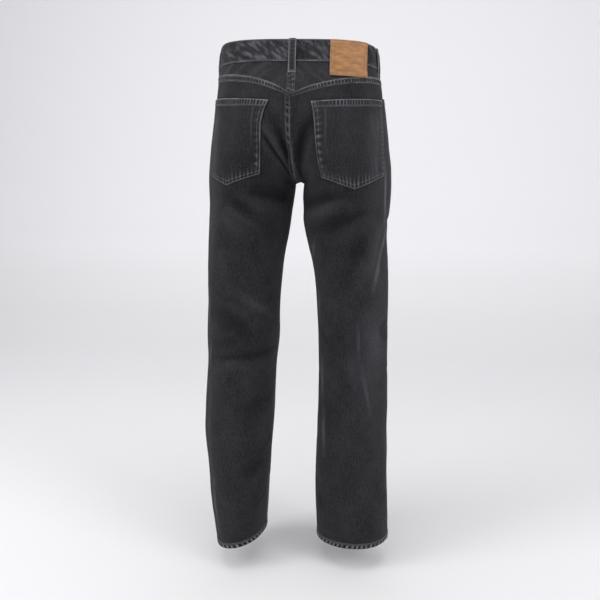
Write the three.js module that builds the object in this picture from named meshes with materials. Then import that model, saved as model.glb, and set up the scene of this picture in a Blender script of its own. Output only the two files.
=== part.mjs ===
// Straight leg jeans in black denim, hollow, holding the shape of a standing wearer with the legs apart.
// Millimetres. +X is the wearer's left, -Y the front, +Z up. The origin is the middle of the waist opening,
// just below the top edge of the waistband.
//
// The whole cloth is one master surface. "across" runs from -1 at the centre back, or the inseam behind,
// through 0 at the side seam, to +1 at the centre front, or the inseam in front. "down" is the distance
// below the waist. Each piece is a stretch of that surface with a thickness.

import * as THREE from "three";

// Cloth and seams. The loose clearance is for two pieces whose facets don't share their edges.
const CLOTH = 1.5;
const SEAM_GAP = 0.3;
const CLEARANCE = 0.3;
const LOOSE_CLEARANCE = 0.9;

// Heights down from the waist: the waistband starts just above it and ends at BAND_BOTTOM.
const BAND_TOP = -3.5;
const BAND_BOTTOM = 38;
const CROTCH = 259;
const HEM_TURN_UP = 13;
const HEM_DOWN = { left: 1034, right: 1037 };

// Posture: the hips are higher on the left, the waist is lower in front, and the left hem is lower outside.
const HIP_ROLL = 0.037;
const HIP_ROLL_ENDS = 230;
const FRONT_DROP = 24;
const FRONT_DROP_ENDS = 170;
const WAIST_DEPTH = 200;
const HEM_TILT = { left: 14, right: -4.5 };
const HEM_TILT_STARTS = 860;
const HEM_TILT_FULL = 1010;

// The trunk: half width at the sides, depth to the centre front and to the centre back. squareness is 2 for
// an ellipse and more for a squarer section.
const TRUNK = [
  { down: -10, width: 156, front: 97, back: 102, squareness: 3.1 },
  { down: 0, width: 157, front: 98, back: 104, squareness: 3.1 },
  { down: 40, width: 162, front: 103, back: 112, squareness: 2.9 },
  { down: 80, width: 170, front: 108, back: 124, squareness: 2.5 },
  { down: 120, width: 176, front: 112, back: 134, squareness: 2.35 },
  { down: 160, width: 181, front: 114, back: 140, squareness: 2.35 },
  { down: 205, width: 186, front: 114, back: 141, squareness: 2.35 },
  { down: 270, width: 191, front: 113, back: 134, squareness: 2.35 },
];

// The legs: the middle of each section, its half width, and its depths to the front and to the back.
// turn is how far the section is turned outwards, in degrees. Rows above the crotch shape the thigh there.
const LEGS = {
  left: [
    { down: 60, x: 97, y: 4, width: 73, front: 106, back: 118, turn: 0 },
    { down: 150, x: 102, y: 6, width: 81, front: 112, back: 130, turn: 0 },
    { down: 205, x: 102, y: 7, width: 86, front: 112, back: 127, turn: 0 },
    { down: 254, x: 101.5, y: 6, width: 90.5, front: 110, back: 119, turn: 0 },
    { down: 300, x: 105, y: 5, width: 88, front: 105, back: 109, turn: 0 },
    { down: 363, x: 112, y: 4, width: 86, front: 96, back: 98, turn: 0 },
    { down: 428, x: 120, y: 4, width: 82, front: 89, back: 88, turn: 0 },
    { down: 493, x: 125, y: 4, width: 80, front: 83, back: 80, turn: 0 },
    { down: 592, x: 128.5, y: 5, width: 79.5, front: 76, back: 72, turn: 0 },
    { down: 660, x: 131, y: 11, width: 77, front: 74, back: 71, turn: 0 },
    { down: 728, x: 133, y: 21, width: 77, front: 73, back: 73, turn: 0 },
    { down: 795, x: 134.6, y: 32, width: 76.6, front: 73, back: 73, turn: -1 },
    { down: 861, x: 131.7, y: 42, width: 70.5, front: 74, back: 74, turn: -3 },
    { down: 928, x: 128.6, y: 53, width: 63.5, front: 76, back: 76, turn: -4 },
    { down: 1030, x: 124, y: 60, width: 54.3, front: 82, back: 74, turn: 2 },
  ],
  right: [
    { down: 60, x: 97, y: 4, width: 73, front: 106, back: 118, turn: 0 },
    { down: 150, x: 102, y: 6, width: 81, front: 112, back: 130, turn: 0 },
    { down: 205, x: 102, y: 7, width: 86, front: 112, back: 127, turn: 0 },
    { down: 254, x: 100.5, y: 6, width: 89.5, front: 110, back: 119, turn: 0 },
    { down: 300, x: 98, y: 4, width: 91, front: 105, back: 109, turn: 2 },
    { down: 363, x: 98, y: 1, width: 86, front: 96, back: 99, turn: 4 },
    { down: 428, x: 107, y: -4, width: 80, front: 89, back: 90, turn: 6 },
    { down: 493, x: 112, y: -8, width: 77, front: 83, back: 82, turn: 8 },
    { down: 592, x: 114, y: -14, width: 76, front: 76, back: 73, turn: 10 },
    { down: 660, x: 115.6, y: -12, width: 75.8, front: 73, back: 72, turn: 10 },
    { down: 728, x: 116.8, y: -6, width: 76.8, front: 71, back: 71, turn: 11 },
    { down: 795, x: 115.6, y: 3, width: 77.6, front: 68, back: 69, turn: 12 },
    { down: 861, x: 115.6, y: 11, width: 79.6, front: 64, back: 65, turn: 13 },
    { down: 928, x: 116.7, y: 18, width: 81.3, front: 58, back: 64, turn: 15 },
    { down: 1030, x: 122, y: 27, width: 80, front: 50, back: 70, turn: 14.5 },
  ],
};
const LEG_SQUARENESS = 2.1;

// The side seam lies a little behind the side at the hip, by this angle in degrees.
const SIDE_SEAM = [
  { down: 0, behind: 10 },
  { down: 60, behind: 13 },
  { down: 150, behind: 14.5 },
  { down: 260, behind: 12 },
  { down: 420, behind: 4 },
  { down: 600, behind: 0 },
  { down: 1030, behind: 0 },
];

// The crotch seam leaves the centre line here and swings under the body in a quarter of an ellipse.
const SWING_STARTS = { front: 188, back: 134 };
const SADDLE_HALF_GAP = 6;
const MATCHING_STARTS = 60;
const MATCHING_SHARE = 0.7;
const SADDLE_SPREAD = [
  { down: 60, spread: 0.1 },
  { down: 150, spread: 0.09 },
  { down: CROTCH, spread: 0.035 },
  { down: 300, spread: 0.035 },
];

// The largest folds: each runs from one point to the other, in across and down. height is out of the
// cloth, and reach is how far it spreads to each side. One unit across is taken as 250 mm.
const FOLDS = {
  left: [
    { from: [-0.5, 270], to: [-0.93, 292], height: -4.5, reach: 13 },
    { from: [-0.28, 290], to: [-0.62, 345], height: -3.5, reach: 15 },
    { from: [-0.27, 316], to: [-0.6, 372], height: 2.5, reach: 13 },
    { from: [-0.7, 150], to: [-0.965, 226], height: 5, reach: 12 },
    { from: [-0.84, 150], to: [-0.97, 205], height: -6, reach: 12 },
    { from: [-0.2, 520], to: [-0.62, 558], height: -3, reach: 20 },
    { from: [-0.5, 520], to: [-0.8, 575], height: 2.5, reach: 15 },
    { from: [-0.3, 600], to: [-0.7, 560], height: -2.5, reach: 18 },
    { from: [-0.25, 640], to: [-0.9, 612], height: -3, reach: 11 },
    { from: [0.28, 262], to: [0.8, 300], height: -4, reach: 15 },
    { from: [0.35, 322], to: [0.85, 290], height: 3, reach: 14 },
    { from: [0.2, 560], to: [0.75, 604], height: -3, reach: 18 },
    { from: [0.25, 650], to: [0.8, 626], height: 3, reach: 16 },
    { from: [0.3, 880], to: [0.8, 850], height: -3, reach: 16 },
    { from: [0.2, 930], to: [0.75, 960], height: -4, reach: 14 },
    { from: [0.2, 962], to: [0.8, 990], height: 3, reach: 12 },
    { from: [-0.6, 880], to: [-0.92, 840], height: -2.5, reach: 14 },
  ],
  right: [
    { from: [-0.45, 284], to: [-0.88, 310], height: -4.5, reach: 13 },
    { from: [-0.34, 318], to: [-0.7, 362], height: -4, reach: 13 },
    { from: [-0.4, 292], to: [-0.86, 340], height: 2.5, reach: 12 },
    { from: [-0.8, 150], to: [-0.97, 212], height: -6, reach: 14 },
    { from: [-0.08, 330], to: [-0.36, 470], height: 3.5, reach: 13 },
    { from: [-0.2, 330], to: [-0.45, 452], height: -2.5, reach: 17 },
    { from: [-0.45, 520], to: [-0.42, 740], height: 2, reach: 12 },
    { from: [-0.2, 548], to: [-0.05, 604], height: -3, reach: 12 },
    { from: [-0.86, 640], to: [-0.78, 740], height: -2.5, reach: 14 },
    { from: [-0.8, 800], to: [-0.75, 930], height: 2.5, reach: 14 },
    { from: [0.28, 262], to: [0.8, 306], height: -4, reach: 15 },
    { from: [0.35, 330], to: [0.85, 296], height: 3, reach: 14 },
    { from: [0.2, 570], to: [0.75, 606], height: -3, reach: 18 },
    { from: [0.25, 655], to: [0.8, 632], height: 3, reach: 16 },
    { from: [0.25, 900], to: [0.8, 872], height: -3, reach: 16 },
    { from: [0.2, 938], to: [0.75, 970], height: -4, reach: 14 },
    { from: [0.2, 972], to: [0.8, 1000], height: 3, reach: 12 },
  ],
};
const ACROSS_UNIT = 250;

// Pieces on the panels
const YOKE_AT_SIDE = 55;
const YOKE_AT_BACK = 101;
const YOKE_POINT_WIDTH = { left: 0.28, right: 0.45 };
const BAND_PROUD = 1.2;
const BAND_EDGE = 0.7;
const BAND_SLIT_ACROSS = 0.92;
const SCOOP = { across: 0.42, down: 55 };
const FACING = { beyond: 0.06, below: 16, thick: 1.2, sag: 3.1, edgeSag: 0.9 };
const COIN_POCKET = { from: 0.09, to: 0.36, top: 60, bottom: 106, thick: 1.1 };
const FLY = { across: 0.2, down: 158, corner: 42, thick: 1.3 };
const HEM_FACES = { inner: -2.2, outer: 0.8 };

// The back pockets' corners, in across and down. The left one is drawn up a little by the folds under it.
const POCKETS = {
  left: {
    topInner: [-0.805, 111],
    topOuter: [-0.07, 97],
    bottomOuter: [-0.17, 245],
    tip: [-0.36, 268],
    bottomInner: [-0.607, 245],
  },
  right: {
    topInner: [-0.815, 114],
    topOuter: [-0.08, 99],
    bottomOuter: [-0.135, 250],
    tip: [-0.375, 277],
    bottomInner: [-0.63, 253],
  },
};

const LOOP = { width: 14, thick: 1.6, below: 60, lift: 1.8 };
const LOOPS = [
  { name: "belt_loop_centre_back", side: "right", across: -0.997 },
  { name: "belt_loop_left_side", side: "left", across: -0.1 },
  { name: "belt_loop_right_side", side: "right", across: -0.1 },
  { name: "belt_loop_left_front", side: "left", across: 0.55 },
  { name: "belt_loop_right_front", side: "right", across: 0.55 },
];
const PATCH = { from: -0.685, to: -0.352, top: -3, bottom: 64.5, thick: 1.6 };
const BUTTON = { radius: 8.5, height: 3.2, across: 0.985 };
const RIVET = { radius: 4.6, height: 1.4, fromSeam: 8, fromMouth: 0.035, fromSide: 0.04 };

const DENIM = 0x39383b;
const LEATHER = 0xae7f58;
const METAL = 0x8d8a84;

const RADIANS = Math.PI / 180;
const mix = (a, b, share) => a + (b - a) * share;
const clamp = (x, low = 0, high = 1) => Math.min(high, Math.max(low, x));
const smooth = (x) => clamp(x) ** 2 * (3 - 2 * clamp(x));
const signOf = { left: 1, right: -1 };
const otherSide = { left: "right", right: "left" };

// A smooth curve through one column of a table, at a distance down.
function along(table, column, down) {
  const last = table.length - 1;
  let i = 0;
  while (i < last - 1 && down > table[i + 1].down) i++;
  const slope = (k) => {
    const a = table[Math.max(k - 1, 0)];
    const b = table[Math.min(k + 1, last)];
    return (b[column] - a[column]) / (b.down - a.down);
  };
  const [p, q] = [table[i], table[i + 1]];
  const step = q.down - p.down;
  const s = clamp((down - p.down) / step);
  const bend = s * (1 - s) * step * ((1 - s) * slope(i) - s * slope(i + 1));
  const ease = s * s * (3 - 2 * s);
  return mix(p[column], q[column], ease) + bend;
}

// Cosine and sine of a rounded box that is an ellipse at squareness 2.
function rounded(angle, squareness) {
  const [c, s] = [Math.cos(angle), Math.sin(angle)];
  const size = (Math.abs(c) ** squareness + Math.abs(s) ** squareness) ** (1 / squareness);
  return [c / size, s / size];
}

// How far a fold table lifts the cloth at a point.
function foldHeight(side, across, down) {
  let height = 0;
  for (const fold of FOLDS[side]) {
    const line = [(fold.to[0] - fold.from[0]) * ACROSS_UNIT, fold.to[1] - fold.from[1]];
    const here = [(across - fold.from[0]) * ACROSS_UNIT, down - fold.from[1]];
    const length = Math.hypot(...line);
    const run = (here[0] * line[0] + here[1] * line[1]) / length;
    const off = (here[0] * line[1] - here[1] * line[0]) / length;
    const past = Math.max(-run, run - length, 0);
    const taper = Math.sin(Math.PI * clamp(run / length, 0.12, 0.88));
    height += fold.height * taper * Math.exp(-((off / fold.reach) ** 2) - (past / (1.5 * fold.reach)) ** 2);
  }
  return height;
}

// The master surface without its folds.
function plainPoint(side, across, down) {
  const sign = signOf[side];
  const front = across >= 0;
  const share = Math.abs(across);
  const depth = front ? "front" : "back";
  const seam = -along(SIDE_SEAM, "behind", down) * RADIANS;

  // Lower down, the trunk's points are spread as the leg's are, so that the two blend without a twist.
  const matched = MATCHING_SHARE * smooth((down - MATCHING_STARTS) / (CROTCH - MATCHING_STARTS));
  const eased = mix(share, Math.sin((share * Math.PI) / 2), matched);
  const trunkAngle = mix(seam, front ? Math.PI / 2 : -Math.PI / 2, eased);
  const [tc, ts] = rounded(trunkAngle, along(TRUNK, "squareness", down));
  const trunkWidth = along(TRUNK, "width", down);
  const trunkDepth = along(TRUNK, trunkAngle > 0 ? "front" : "back", down);
  const trunk = [trunkWidth * tc, -trunkDepth * ts];

  const legAngle = mix(seam, front ? Math.PI : -Math.PI, share);
  const [lc, ls] = rounded(legAngle, LEG_SQUARENESS);
  const row = (column) => along(LEGS[side], column, down);
  const turn = row("turn") * RADIANS;
  const reach = [row("width") * lc, -row(legAngle > 0 ? "front" : "back") * ls];
  const leg = [
    row("x") + reach[0] * Math.cos(turn) - reach[1] * Math.sin(turn),
    row("y") + reach[0] * Math.sin(turn) + reach[1] * Math.cos(turn),
  ];
  const spread = along(SADDLE_SPREAD, "spread", down);
  const fromCrotch = Math.hypot((1 - share) / spread, Math.max(0, down - CROTCH) / SADDLE_HALF_GAP);
  leg[0] *= Math.sqrt(1 - (1 - clamp(fromCrotch)) ** 2);

  const swingStart = SWING_STARTS[depth];
  const swing = clamp((down - swingStart) / (CROTCH - swingStart));
  const edge = share ** 4;
  const weight = mix(smooth(swing), 1 - Math.cos((swing * Math.PI) / 2), edge);
  const x = mix(trunk[0], leg[0], weight);
  const y = mix(trunk[1], leg[1], weight);

  const dip = (CROTCH - swingStart) * (Math.sin((swing * Math.PI) / 2) - swing) * edge;
  const roll = HIP_ROLL * (1 - smooth(down / HIP_ROLL_ENDS)) * sign * x;
  const drop = FRONT_DROP * (1 - smooth(down / FRONT_DROP_ENDS)) * (0.5 - y / WAIST_DEPTH) ** 2;
  const tilt = HEM_TILT[side] * smooth((down - HEM_TILT_STARTS) / (HEM_TILT_FULL - HEM_TILT_STARTS)) * lc;
  return new THREE.Vector3(sign * x, y, -down - dip + roll - drop - tilt);
}

// A place past the centre line is on the other half, and past the inseam it goes on round the leg.
function resolved([side, across, down]) {
  if (Math.abs(across) <= 1) return [side, across, down];
  const folded = Math.sign(across) * 2 - across;
  return down >= CROTCH ? [side, -folded, down] : [otherSide[side], folded, down];
}

// The way out of the cloth.
function outward([side, across, down]) {
  const step = 0.004;
  const drop = 1;
  const at = (beside, below) => plainPoint(...resolved([side, across + beside, down + below]));
  const a = at(step, 0).sub(at(-step, 0));
  const b = at(0, drop).sub(at(0, -drop));
  return a.cross(b).multiplyScalar(signOf[side]).normalize();
}

// A point that stands out from the master surface, folds included.
function clothPoint(place, out = 0) {
  const here = resolved(place);
  return plainPoint(...here).addScaledVector(outward(here), out + foldHeight(...here));
}

// A closed wall over a grid of places: place(i, j) is [side, across, down], and faces(i, j) is the
// distance out of its inner and outer face. Its four edges are drawn in by half a seam gap.
function wall(name, rows, columns, place, faces) {
  const layers = [[], []];
  for (let i = 0; i <= rows; i++) {
    for (let j = 0; j <= columns; j++) {
      layers.forEach((layer, k) => layer.push(clothPoint(place(i, j), faces(i, j)[k])));
    }
  }
  const at = (i, j) => i * (columns + 1) + j;
  for (const layer of layers) {
    const moved = layer.map((p) => p.clone());
    const draw = (from, to) => {
      const way = layer[to].clone().sub(layer[from]).normalize();
      moved[from].addScaledVector(way, SEAM_GAP / 2);
    };
    for (let i = 0; i <= rows; i++) {
      draw(at(i, 0), at(i, 1));
      draw(at(i, columns), at(i, columns - 1));
    }
    for (let j = 0; j <= columns; j++) {
      draw(at(0, j), at(1, j));
      draw(at(rows, j), at(rows - 1, j));
    }
    layer.splice(0, layer.length, ...moved);
  }
  const count = layers[0].length;
  const index = [];
  const quad = (a, b, c, d) => index.push(a, b, c, a, c, d);
  for (let i = 0; i < rows; i++) {
    for (let j = 0; j < columns; j++) {
      const [a, b, c, d] = [at(i, j), at(i, j + 1), at(i + 1, j + 1), at(i + 1, j)];
      quad(a, b, c, d);
      quad(a + count, d + count, c + count, b + count);
    }
  }
  const rim = [];
  for (let j = 0; j < columns; j++) rim.push(at(0, j));
  for (let i = 0; i < rows; i++) rim.push(at(i, columns));
  for (let j = columns; j > 0; j--) rim.push(at(rows, j));
  for (let i = rows; i > 0; i--) rim.push(at(i, 0));
  rim.forEach((here, k) => {
    const next = rim[(k + 1) % rim.length];
    quad(next, here, here + count, next + count);
  });
  return mesh(name, layers.flat(), index, DENIM);
}

// What is left of a polygon inside a convex outline. A corner's first two numbers are across and down,
// and the rest are carried along.
function clipped(polygon, outline) {
  const area = outline.reduce((sum, a, k) => {
    const b = outline[(k + 1) % outline.length];
    return sum + a[0] * b[1] - a[1] * b[0];
  }, 0);
  return outline.reduce((kept, a, k) => {
    const b = outline[(k + 1) % outline.length];
    const inside = (p) => area * ((b[0] - a[0]) * (p[1] - a[1]) - (b[1] - a[1]) * (p[0] - a[0]));
    const left = [];
    kept.forEach((p, i) => {
      const q = kept[(i + 1) % kept.length];
      const [dp, dq] = [inside(p), inside(q)];
      if (dp >= 0) left.push(p);
      if (dp * dq < 0) left.push(p.map((x, n) => mix(x, q[n], dp / (dp - dq))));
    });
    return left;
  }, polygon);
}

// A closed wall cut to a convex outline from a grid's own facets, so that it lies flat on what is under it.
// The grid is rows of places, and faces(place) is the distance out of its inner and outer face there.
function cutOut(name, grid, outline, faces, colour = DENIM) {
  const corners = grid.map((row) =>
    row.map((place) => {
      const [low, high] = faces(place).map((out) => clothPoint(place, out).toArray());
      return [place[1], place[2], ...low, ...high];
    }),
  );
  const points = [[], []];
  const numbered = new Map();
  const numberOf = (corner) => {
    const key = `${Math.round(corner[0] * 5000)} ${Math.round(corner[1] * 20)}`;
    if (!numbered.has(key)) {
      numbered.set(key, points[0].length);
      points[0].push(new THREE.Vector3(...corner.slice(2, 5)));
      points[1].push(new THREE.Vector3(...corner.slice(5, 8)));
    }
    return numbered.get(key);
  };
  const faceList = [];
  const addTriangle = (triangle) => {
    const kept = clipped(triangle, outline).map(numberOf);
    const around = kept.filter((n, k) => n !== kept[(k + 1) % kept.length]);
    for (let k = 1; k < around.length - 1; k++) faceList.push([around[0], around[k], around[k + 1]]);
  };
  for (let i = 0; i < corners.length - 1; i++) {
    for (let j = 0; j < corners[0].length - 1; j++) {
      const [a, b, c, d] = [corners[i][j], corners[i][j + 1], corners[i + 1][j + 1], corners[i + 1][j]];
      addTriangle([a, b, c]);
      addTriangle([a, c, d]);
    }
  }
  const count = points[0].length;
  const edges = new Set(faceList.flatMap(([a, b, c]) => [`${a} ${b}`, `${b} ${c}`, `${c} ${a}`]));
  const index = faceList.flatMap(([a, b, c]) => [a, b, c, c + count, b + count, a + count]);
  for (const edge of edges) {
    const [from, to] = edge.split(" ").map(Number);
    if (!edges.has(`${to} ${from}`)) index.push(to, from, from + count, to, from + count, to + count);
  }
  return mesh(name, points.flat(), index, colour);
}

// A named mesh from points and triangles, turned so that its faces point out.
function mesh(name, points, index, colour) {
  let volume = 0;
  for (let i = 0; i < index.length; i += 3) {
    const [a, b, c] = [points[index[i]], points[index[i + 1]], points[index[i + 2]]];
    volume += a.dot(b.clone().cross(c));
  }
  if (volume < 0) index.reverse();
  const geometry = new THREE.BufferGeometry().setFromPoints(points).setIndex(index);
  geometry.computeVertexNormals();
  const material = new THREE.MeshStandardMaterial({ color: colour, roughness: 0.9, metalness: 0 });
  const made = new THREE.Mesh(geometry, material);
  made.name = name;
  return made;
}

const evenly = (count, from, to) => Array.from({ length: count + 1 }, (_, k) => mix(from, to, k / count));

// Columns across a panel, closer together where the cloth turns in to the crotch and the inseam.
const COLUMNS = [0, 0.11, 0.22, 0.33, 0.44, 0.55, 0.66, 0.77, 0.86, 0.93, 0.97, 1];

// The yoke's lower seam is a V whose arms bend up level towards the side seams.
function yokeSeam(side, share) {
  const width = YOKE_POINT_WIDTH[side];
  const least = Math.exp(-1 / width);
  const dip = (Math.exp((share - 1) / width) - least) / (1 - least);
  return mix(YOKE_AT_SIDE, YOKE_AT_BACK, dip);
}

// Rows down a panel from its top, to the hem and its turn-up.
function panelRows(side, top) {
  const hem = HEM_DOWN[side];
  const hips = [88, 106, 124, 142, 160, 178, 196, 212, 226, 238, 249];
  const saddle = [CROTCH, CROTCH + 4, CROTCH + 12];
  const thigh = [283, 297, 312, 328, 347, 370, 398, 432, 470];
  const shin = [510, 545, 580, 615, 655, 705, 760, 815, 865, 910, 950];
  const turnUp = [hem - HEM_TURN_UP - 1, hem - HEM_TURN_UP, hem];
  return [top, ...hips.filter((d) => d > top + 8), ...saddle, ...thigh, ...shin, ...turnUp];
}

// The cloth's faces, three layers thick in the hem's turn-up.
function panelFaces(side, down) {
  const inHem = down >= HEM_DOWN[side] - HEM_TURN_UP;
  return inHem ? [HEM_FACES.inner, HEM_FACES.outer] : [-CLOTH, 0];
}

// The back panel's places: its top rows follow the yoke seam, and lower down they level out.
function backPlace(side, share, down) {
  const blendEnds = YOKE_AT_BACK + 80;
  const lowered = (yokeSeam(side, share) - YOKE_AT_SIDE) * clamp((blendEnds - down) / (blendEnds - YOKE_AT_SIDE));
  return [side, -share, down + lowered];
}

function backPanel(side) {
  const rows = panelRows(side, YOKE_AT_SIDE);
  const place = (i, j) => backPlace(side, COLUMNS[j], rows[i]);
  return wall(`back_${side}`, rows.length - 1, COLUMNS.length - 1, place, (i) => panelFaces(side, rows[i]));
}

function yoke(side) {
  const rows = 3;
  const place = (i, j) => [side, -COLUMNS[j], mix(BAND_BOTTOM, yokeSeam(side, COLUMNS[j]), i / rows)];
  return wall(`yoke_${side}`, rows, COLUMNS.length - 1, place, () => [-CLOTH, 0]);
}

// The front panel's rows start at the pocket mouth, a quarter of an ellipse, and then at the side seam.
function frontRows(side) {
  const curved = evenly(6, 0, Math.PI / 2).map((angle) => ({
    down: BAND_BOTTOM + SCOOP.down * Math.sin(angle),
    from: SCOOP.across * Math.cos(angle),
  }));
  const straight = panelRows(side, BAND_BOTTOM + SCOOP.down).slice(1).map((down) => ({ down, from: 0 }));
  return [...curved, ...straight];
}

function frontPanel(side) {
  const rows = frontRows(side);
  const place = (i, j) => [side, mix(rows[i].from, 1, COLUMNS[j]), rows[i].down];
  const faces = (i) => panelFaces(side, rows[i].down);
  return wall(`front_${side}`, rows.length - 1, COLUMNS.length - 1, place, faces);
}

// The cloth behind the pocket mouth, which sags in a little between its seams.
function facingSag(across, down) {
  const slack = smooth(across / 0.1) * smooth((down - BAND_BOTTOM) / 14);
  return mix(FACING.edgeSag, FACING.sag, slack);
}

function facingGrid(side) {
  const across = evenly(6, 0, SCOOP.across + FACING.beyond);
  const downs = evenly(6, BAND_BOTTOM, BAND_BOTTOM + SCOOP.down + FACING.below);
  return downs.map((down) => across.map((share) => [side, share, down]));
}

function pocketFacing(side) {
  const grid = facingGrid(side);
  const faces = (i, j) => {
    const outer = -CLOTH - CLEARANCE - facingSag(grid[i][j][1], grid[i][j][2]);
    return [outer - FACING.thick, outer];
  };
  return wall(`pocket_facing_${side}`, grid.length - 1, grid[0].length - 1, (i, j) => grid[i][j], faces);
}

function coinPocket() {
  const { from, to, top, bottom } = COIN_POCKET;
  const outline = [[from, top], [to, top], [to, bottom], [from, bottom]];
  const faces = ([, across, down]) => {
    const inner = -CLOTH - facingSag(across, down);
    return [inner, inner + COIN_POCKET.thick];
  };
  return cutOut("coin_pocket", facingGrid("right"), outline, faces);
}

// The fly, with its round lower corner.
function fly() {
  const grid = frontRows("left").map(({ down, from }) => COLUMNS.map((s) => ["left", mix(from, 1, s), down]));
  const corner = evenly(6, 0, Math.PI / 2).map((angle) => [
    1 - FLY.across * Math.cos(angle),
    FLY.down - FLY.corner * (1 - Math.sin(angle)),
  ]);
  const top = BAND_BOTTOM + SEAM_GAP;
  const outline = [[1, top], [1 - FLY.across, top], ...corner];
  return cutOut("fly", grid, outline, () => [CLEARANCE, CLEARANCE + FLY.thick]);
}

// The waistband, one strip that meets itself beside the centre front.
function waistband() {
  const before = COLUMNS.filter((share) => share < BAND_SLIT_ACROSS).reverse();
  const after = COLUMNS.filter((share) => share > BAND_SLIT_ACROSS && share < 1).reverse();
  const round = [
    ["right", BAND_SLIT_ACROSS],
    ...before.map((share) => ["right", share]),
    ...COLUMNS.slice(1).map((share) => ["right", -share]),
    ...COLUMNS.slice(0, -1).reverse().map((share) => ["left", -share]),
    ...COLUMNS.slice(1).map((share) => ["left", share]),
    ...after.map((share) => ["right", share]),
    ["right", BAND_SLIT_ACROSS],
  ];
  const downs = [BAND_TOP, 5, 19, 32, BAND_BOTTOM];
  const place = (i, j) => [...round[j], downs[i]];
  const faces = (i) => [-CLOTH, i === 0 || i === downs.length - 1 ? BAND_EDGE : BAND_PROUD];
  return wall("waistband", downs.length - 1, round.length - 1, place, faces);
}

function backPocket(side) {
  const rows = panelRows(side, YOKE_AT_SIDE);
  const grid = rows.map((down) => COLUMNS.map((share) => backPlace(side, share, down)));
  const outline = Object.values(POCKETS[side]);
  return cutOut(`back_pocket_${side}`, grid, outline, () => [CLEARANCE, CLEARANCE + CLOTH]);
}

// How wide one unit across is at a place.
const unitAcross = (side, across, down) =>
  clothPoint([side, across + 0.01, down]).distanceTo(clothPoint([side, across - 0.01, down])) / 0.02;

// A belt loop: sewn down at the top of the band and below it, and standing off between.
function beltLoop({ name, side, across }) {
  const half = LOOP.width / 2 / unitAcross(side, across, BAND_BOTTOM);
  const rows = [
    { down: BAND_TOP - 0.5, lift: 0 },
    { down: 2, lift: 0.3 },
    { down: 9, lift: 1 },
    { down: 22, lift: 1 },
    { down: 34, lift: 0.9 },
    { down: 43, lift: 0.4 },
    { down: 50, lift: (LOOSE_CLEARANCE - CLEARANCE - BAND_PROUD) / LOOP.lift },
    { down: LOOP.below, lift: (LOOSE_CLEARANCE - CLEARANCE - BAND_PROUD) / LOOP.lift },
  ];
  const past = 1 - COLUMNS.at(-2);
  const signed = [-1 - past, ...COLUMNS.map((share) => -share), ...COLUMNS].sort((p, q) => p - q);
  const columns = signed.filter((p, k) => p !== signed[k + 1]);
  const grid = rows.map(({ down }) => columns.map((p) => [side, p, down]));
  const [top, bottom] = [rows[0].down, rows.at(-1).down];
  const outline = [
    [across - half, top],
    [across + half, top],
    [across + half, bottom],
    [across - half, bottom],
  ];
  const faces = ([, , down]) => {
    const inner = BAND_PROUD + CLEARANCE + LOOP.lift * rows.find((row) => row.down === down).lift;
    return [inner, inner + LOOP.thick];
  };
  return cutOut(name, grid, outline, faces);
}

function patch() {
  const { from, to, top, bottom } = PATCH;
  const grid = evenly(5, top, bottom).map((down) => COLUMNS.map((share) => ["right", -share, down]));
  const outline = [[from, top], [to, top], [to, bottom], [from, bottom]];
  const inner = BAND_PROUD + CLEARANCE;
  return cutOut("leather_patch", grid, outline, () => [inner, inner + PATCH.thick], LEATHER);
}

// A turned metal piece that stands on the cloth, from its outline as pairs of radius and height.
function turned(name, outline, segments, place, out) {
  const geometry = new THREE.LatheGeometry(
    outline.map(([r, h]) => new THREE.Vector2(r, h)),
    segments,
  );
  const material = new THREE.MeshStandardMaterial({ color: METAL, metalness: 0.9, roughness: 0.4 });
  const made = new THREE.Mesh(geometry, material);
  made.name = name;
  made.position.copy(clothPoint(place, out));
  made.quaternion.setFromUnitVectors(new THREE.Vector3(0, 1, 0), outward(place));
  return made;
}

function waistButton() {
  const { radius, height } = BUTTON;
  const outline = [
    [0, 0],
    [radius * 0.55, 0],
    [radius * 0.55, height * 0.35],
    [radius * 0.94, height * 0.4],
    [radius, height * 0.65],
    [radius * 0.9, height * 0.95],
    [radius * 0.75, height * 0.8],
    [0, height],
  ];
  const place = ["left", BUTTON.across, (BAND_TOP + BAND_BOTTOM) / 2];
  return turned("waist_button", outline, 20, place, BAND_PROUD + CLEARANCE);
}

// A domed rivet with a dimple.
function rivet(name, side, across, down) {
  const { radius, height } = RIVET;
  const outline = [
    [0, 0],
    [radius, 0],
    [radius * 0.92, height * 0.6],
    [radius * 0.5, height],
    [0, height * 0.8],
  ];
  return turned(name, outline, 10, [side, across, down], CLEARANCE);
}

const jeans = new THREE.Group();
for (const side of ["left", "right"]) {
  jeans.add(frontPanel(side), backPanel(side), yoke(side), pocketFacing(side), backPocket(side));
  jeans.add(rivet(`rivet_top_${side}`, side, SCOOP.across + RIVET.fromMouth, BAND_BOTTOM + RIVET.fromSeam));
  jeans.add(rivet(`rivet_side_${side}`, side, RIVET.fromSide, BAND_BOTTOM + SCOOP.down + RIVET.fromSeam));
}
jeans.add(waistband(), fly(), coinPocket(), patch(), waistButton(), ...LOOPS.map(beltLoop));

export default jeans;
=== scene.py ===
# Straight leg jeans in washed black denim, worn, with nobody in them.
# The cloth follows the same surface as the solids: "across" runs from -1 at the centre back or the inseam
# behind, through 0 at the side seam, to +1 in front, and "down" is millimetres below the waist.
# All lengths are millimetres until a mesh is made.

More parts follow.
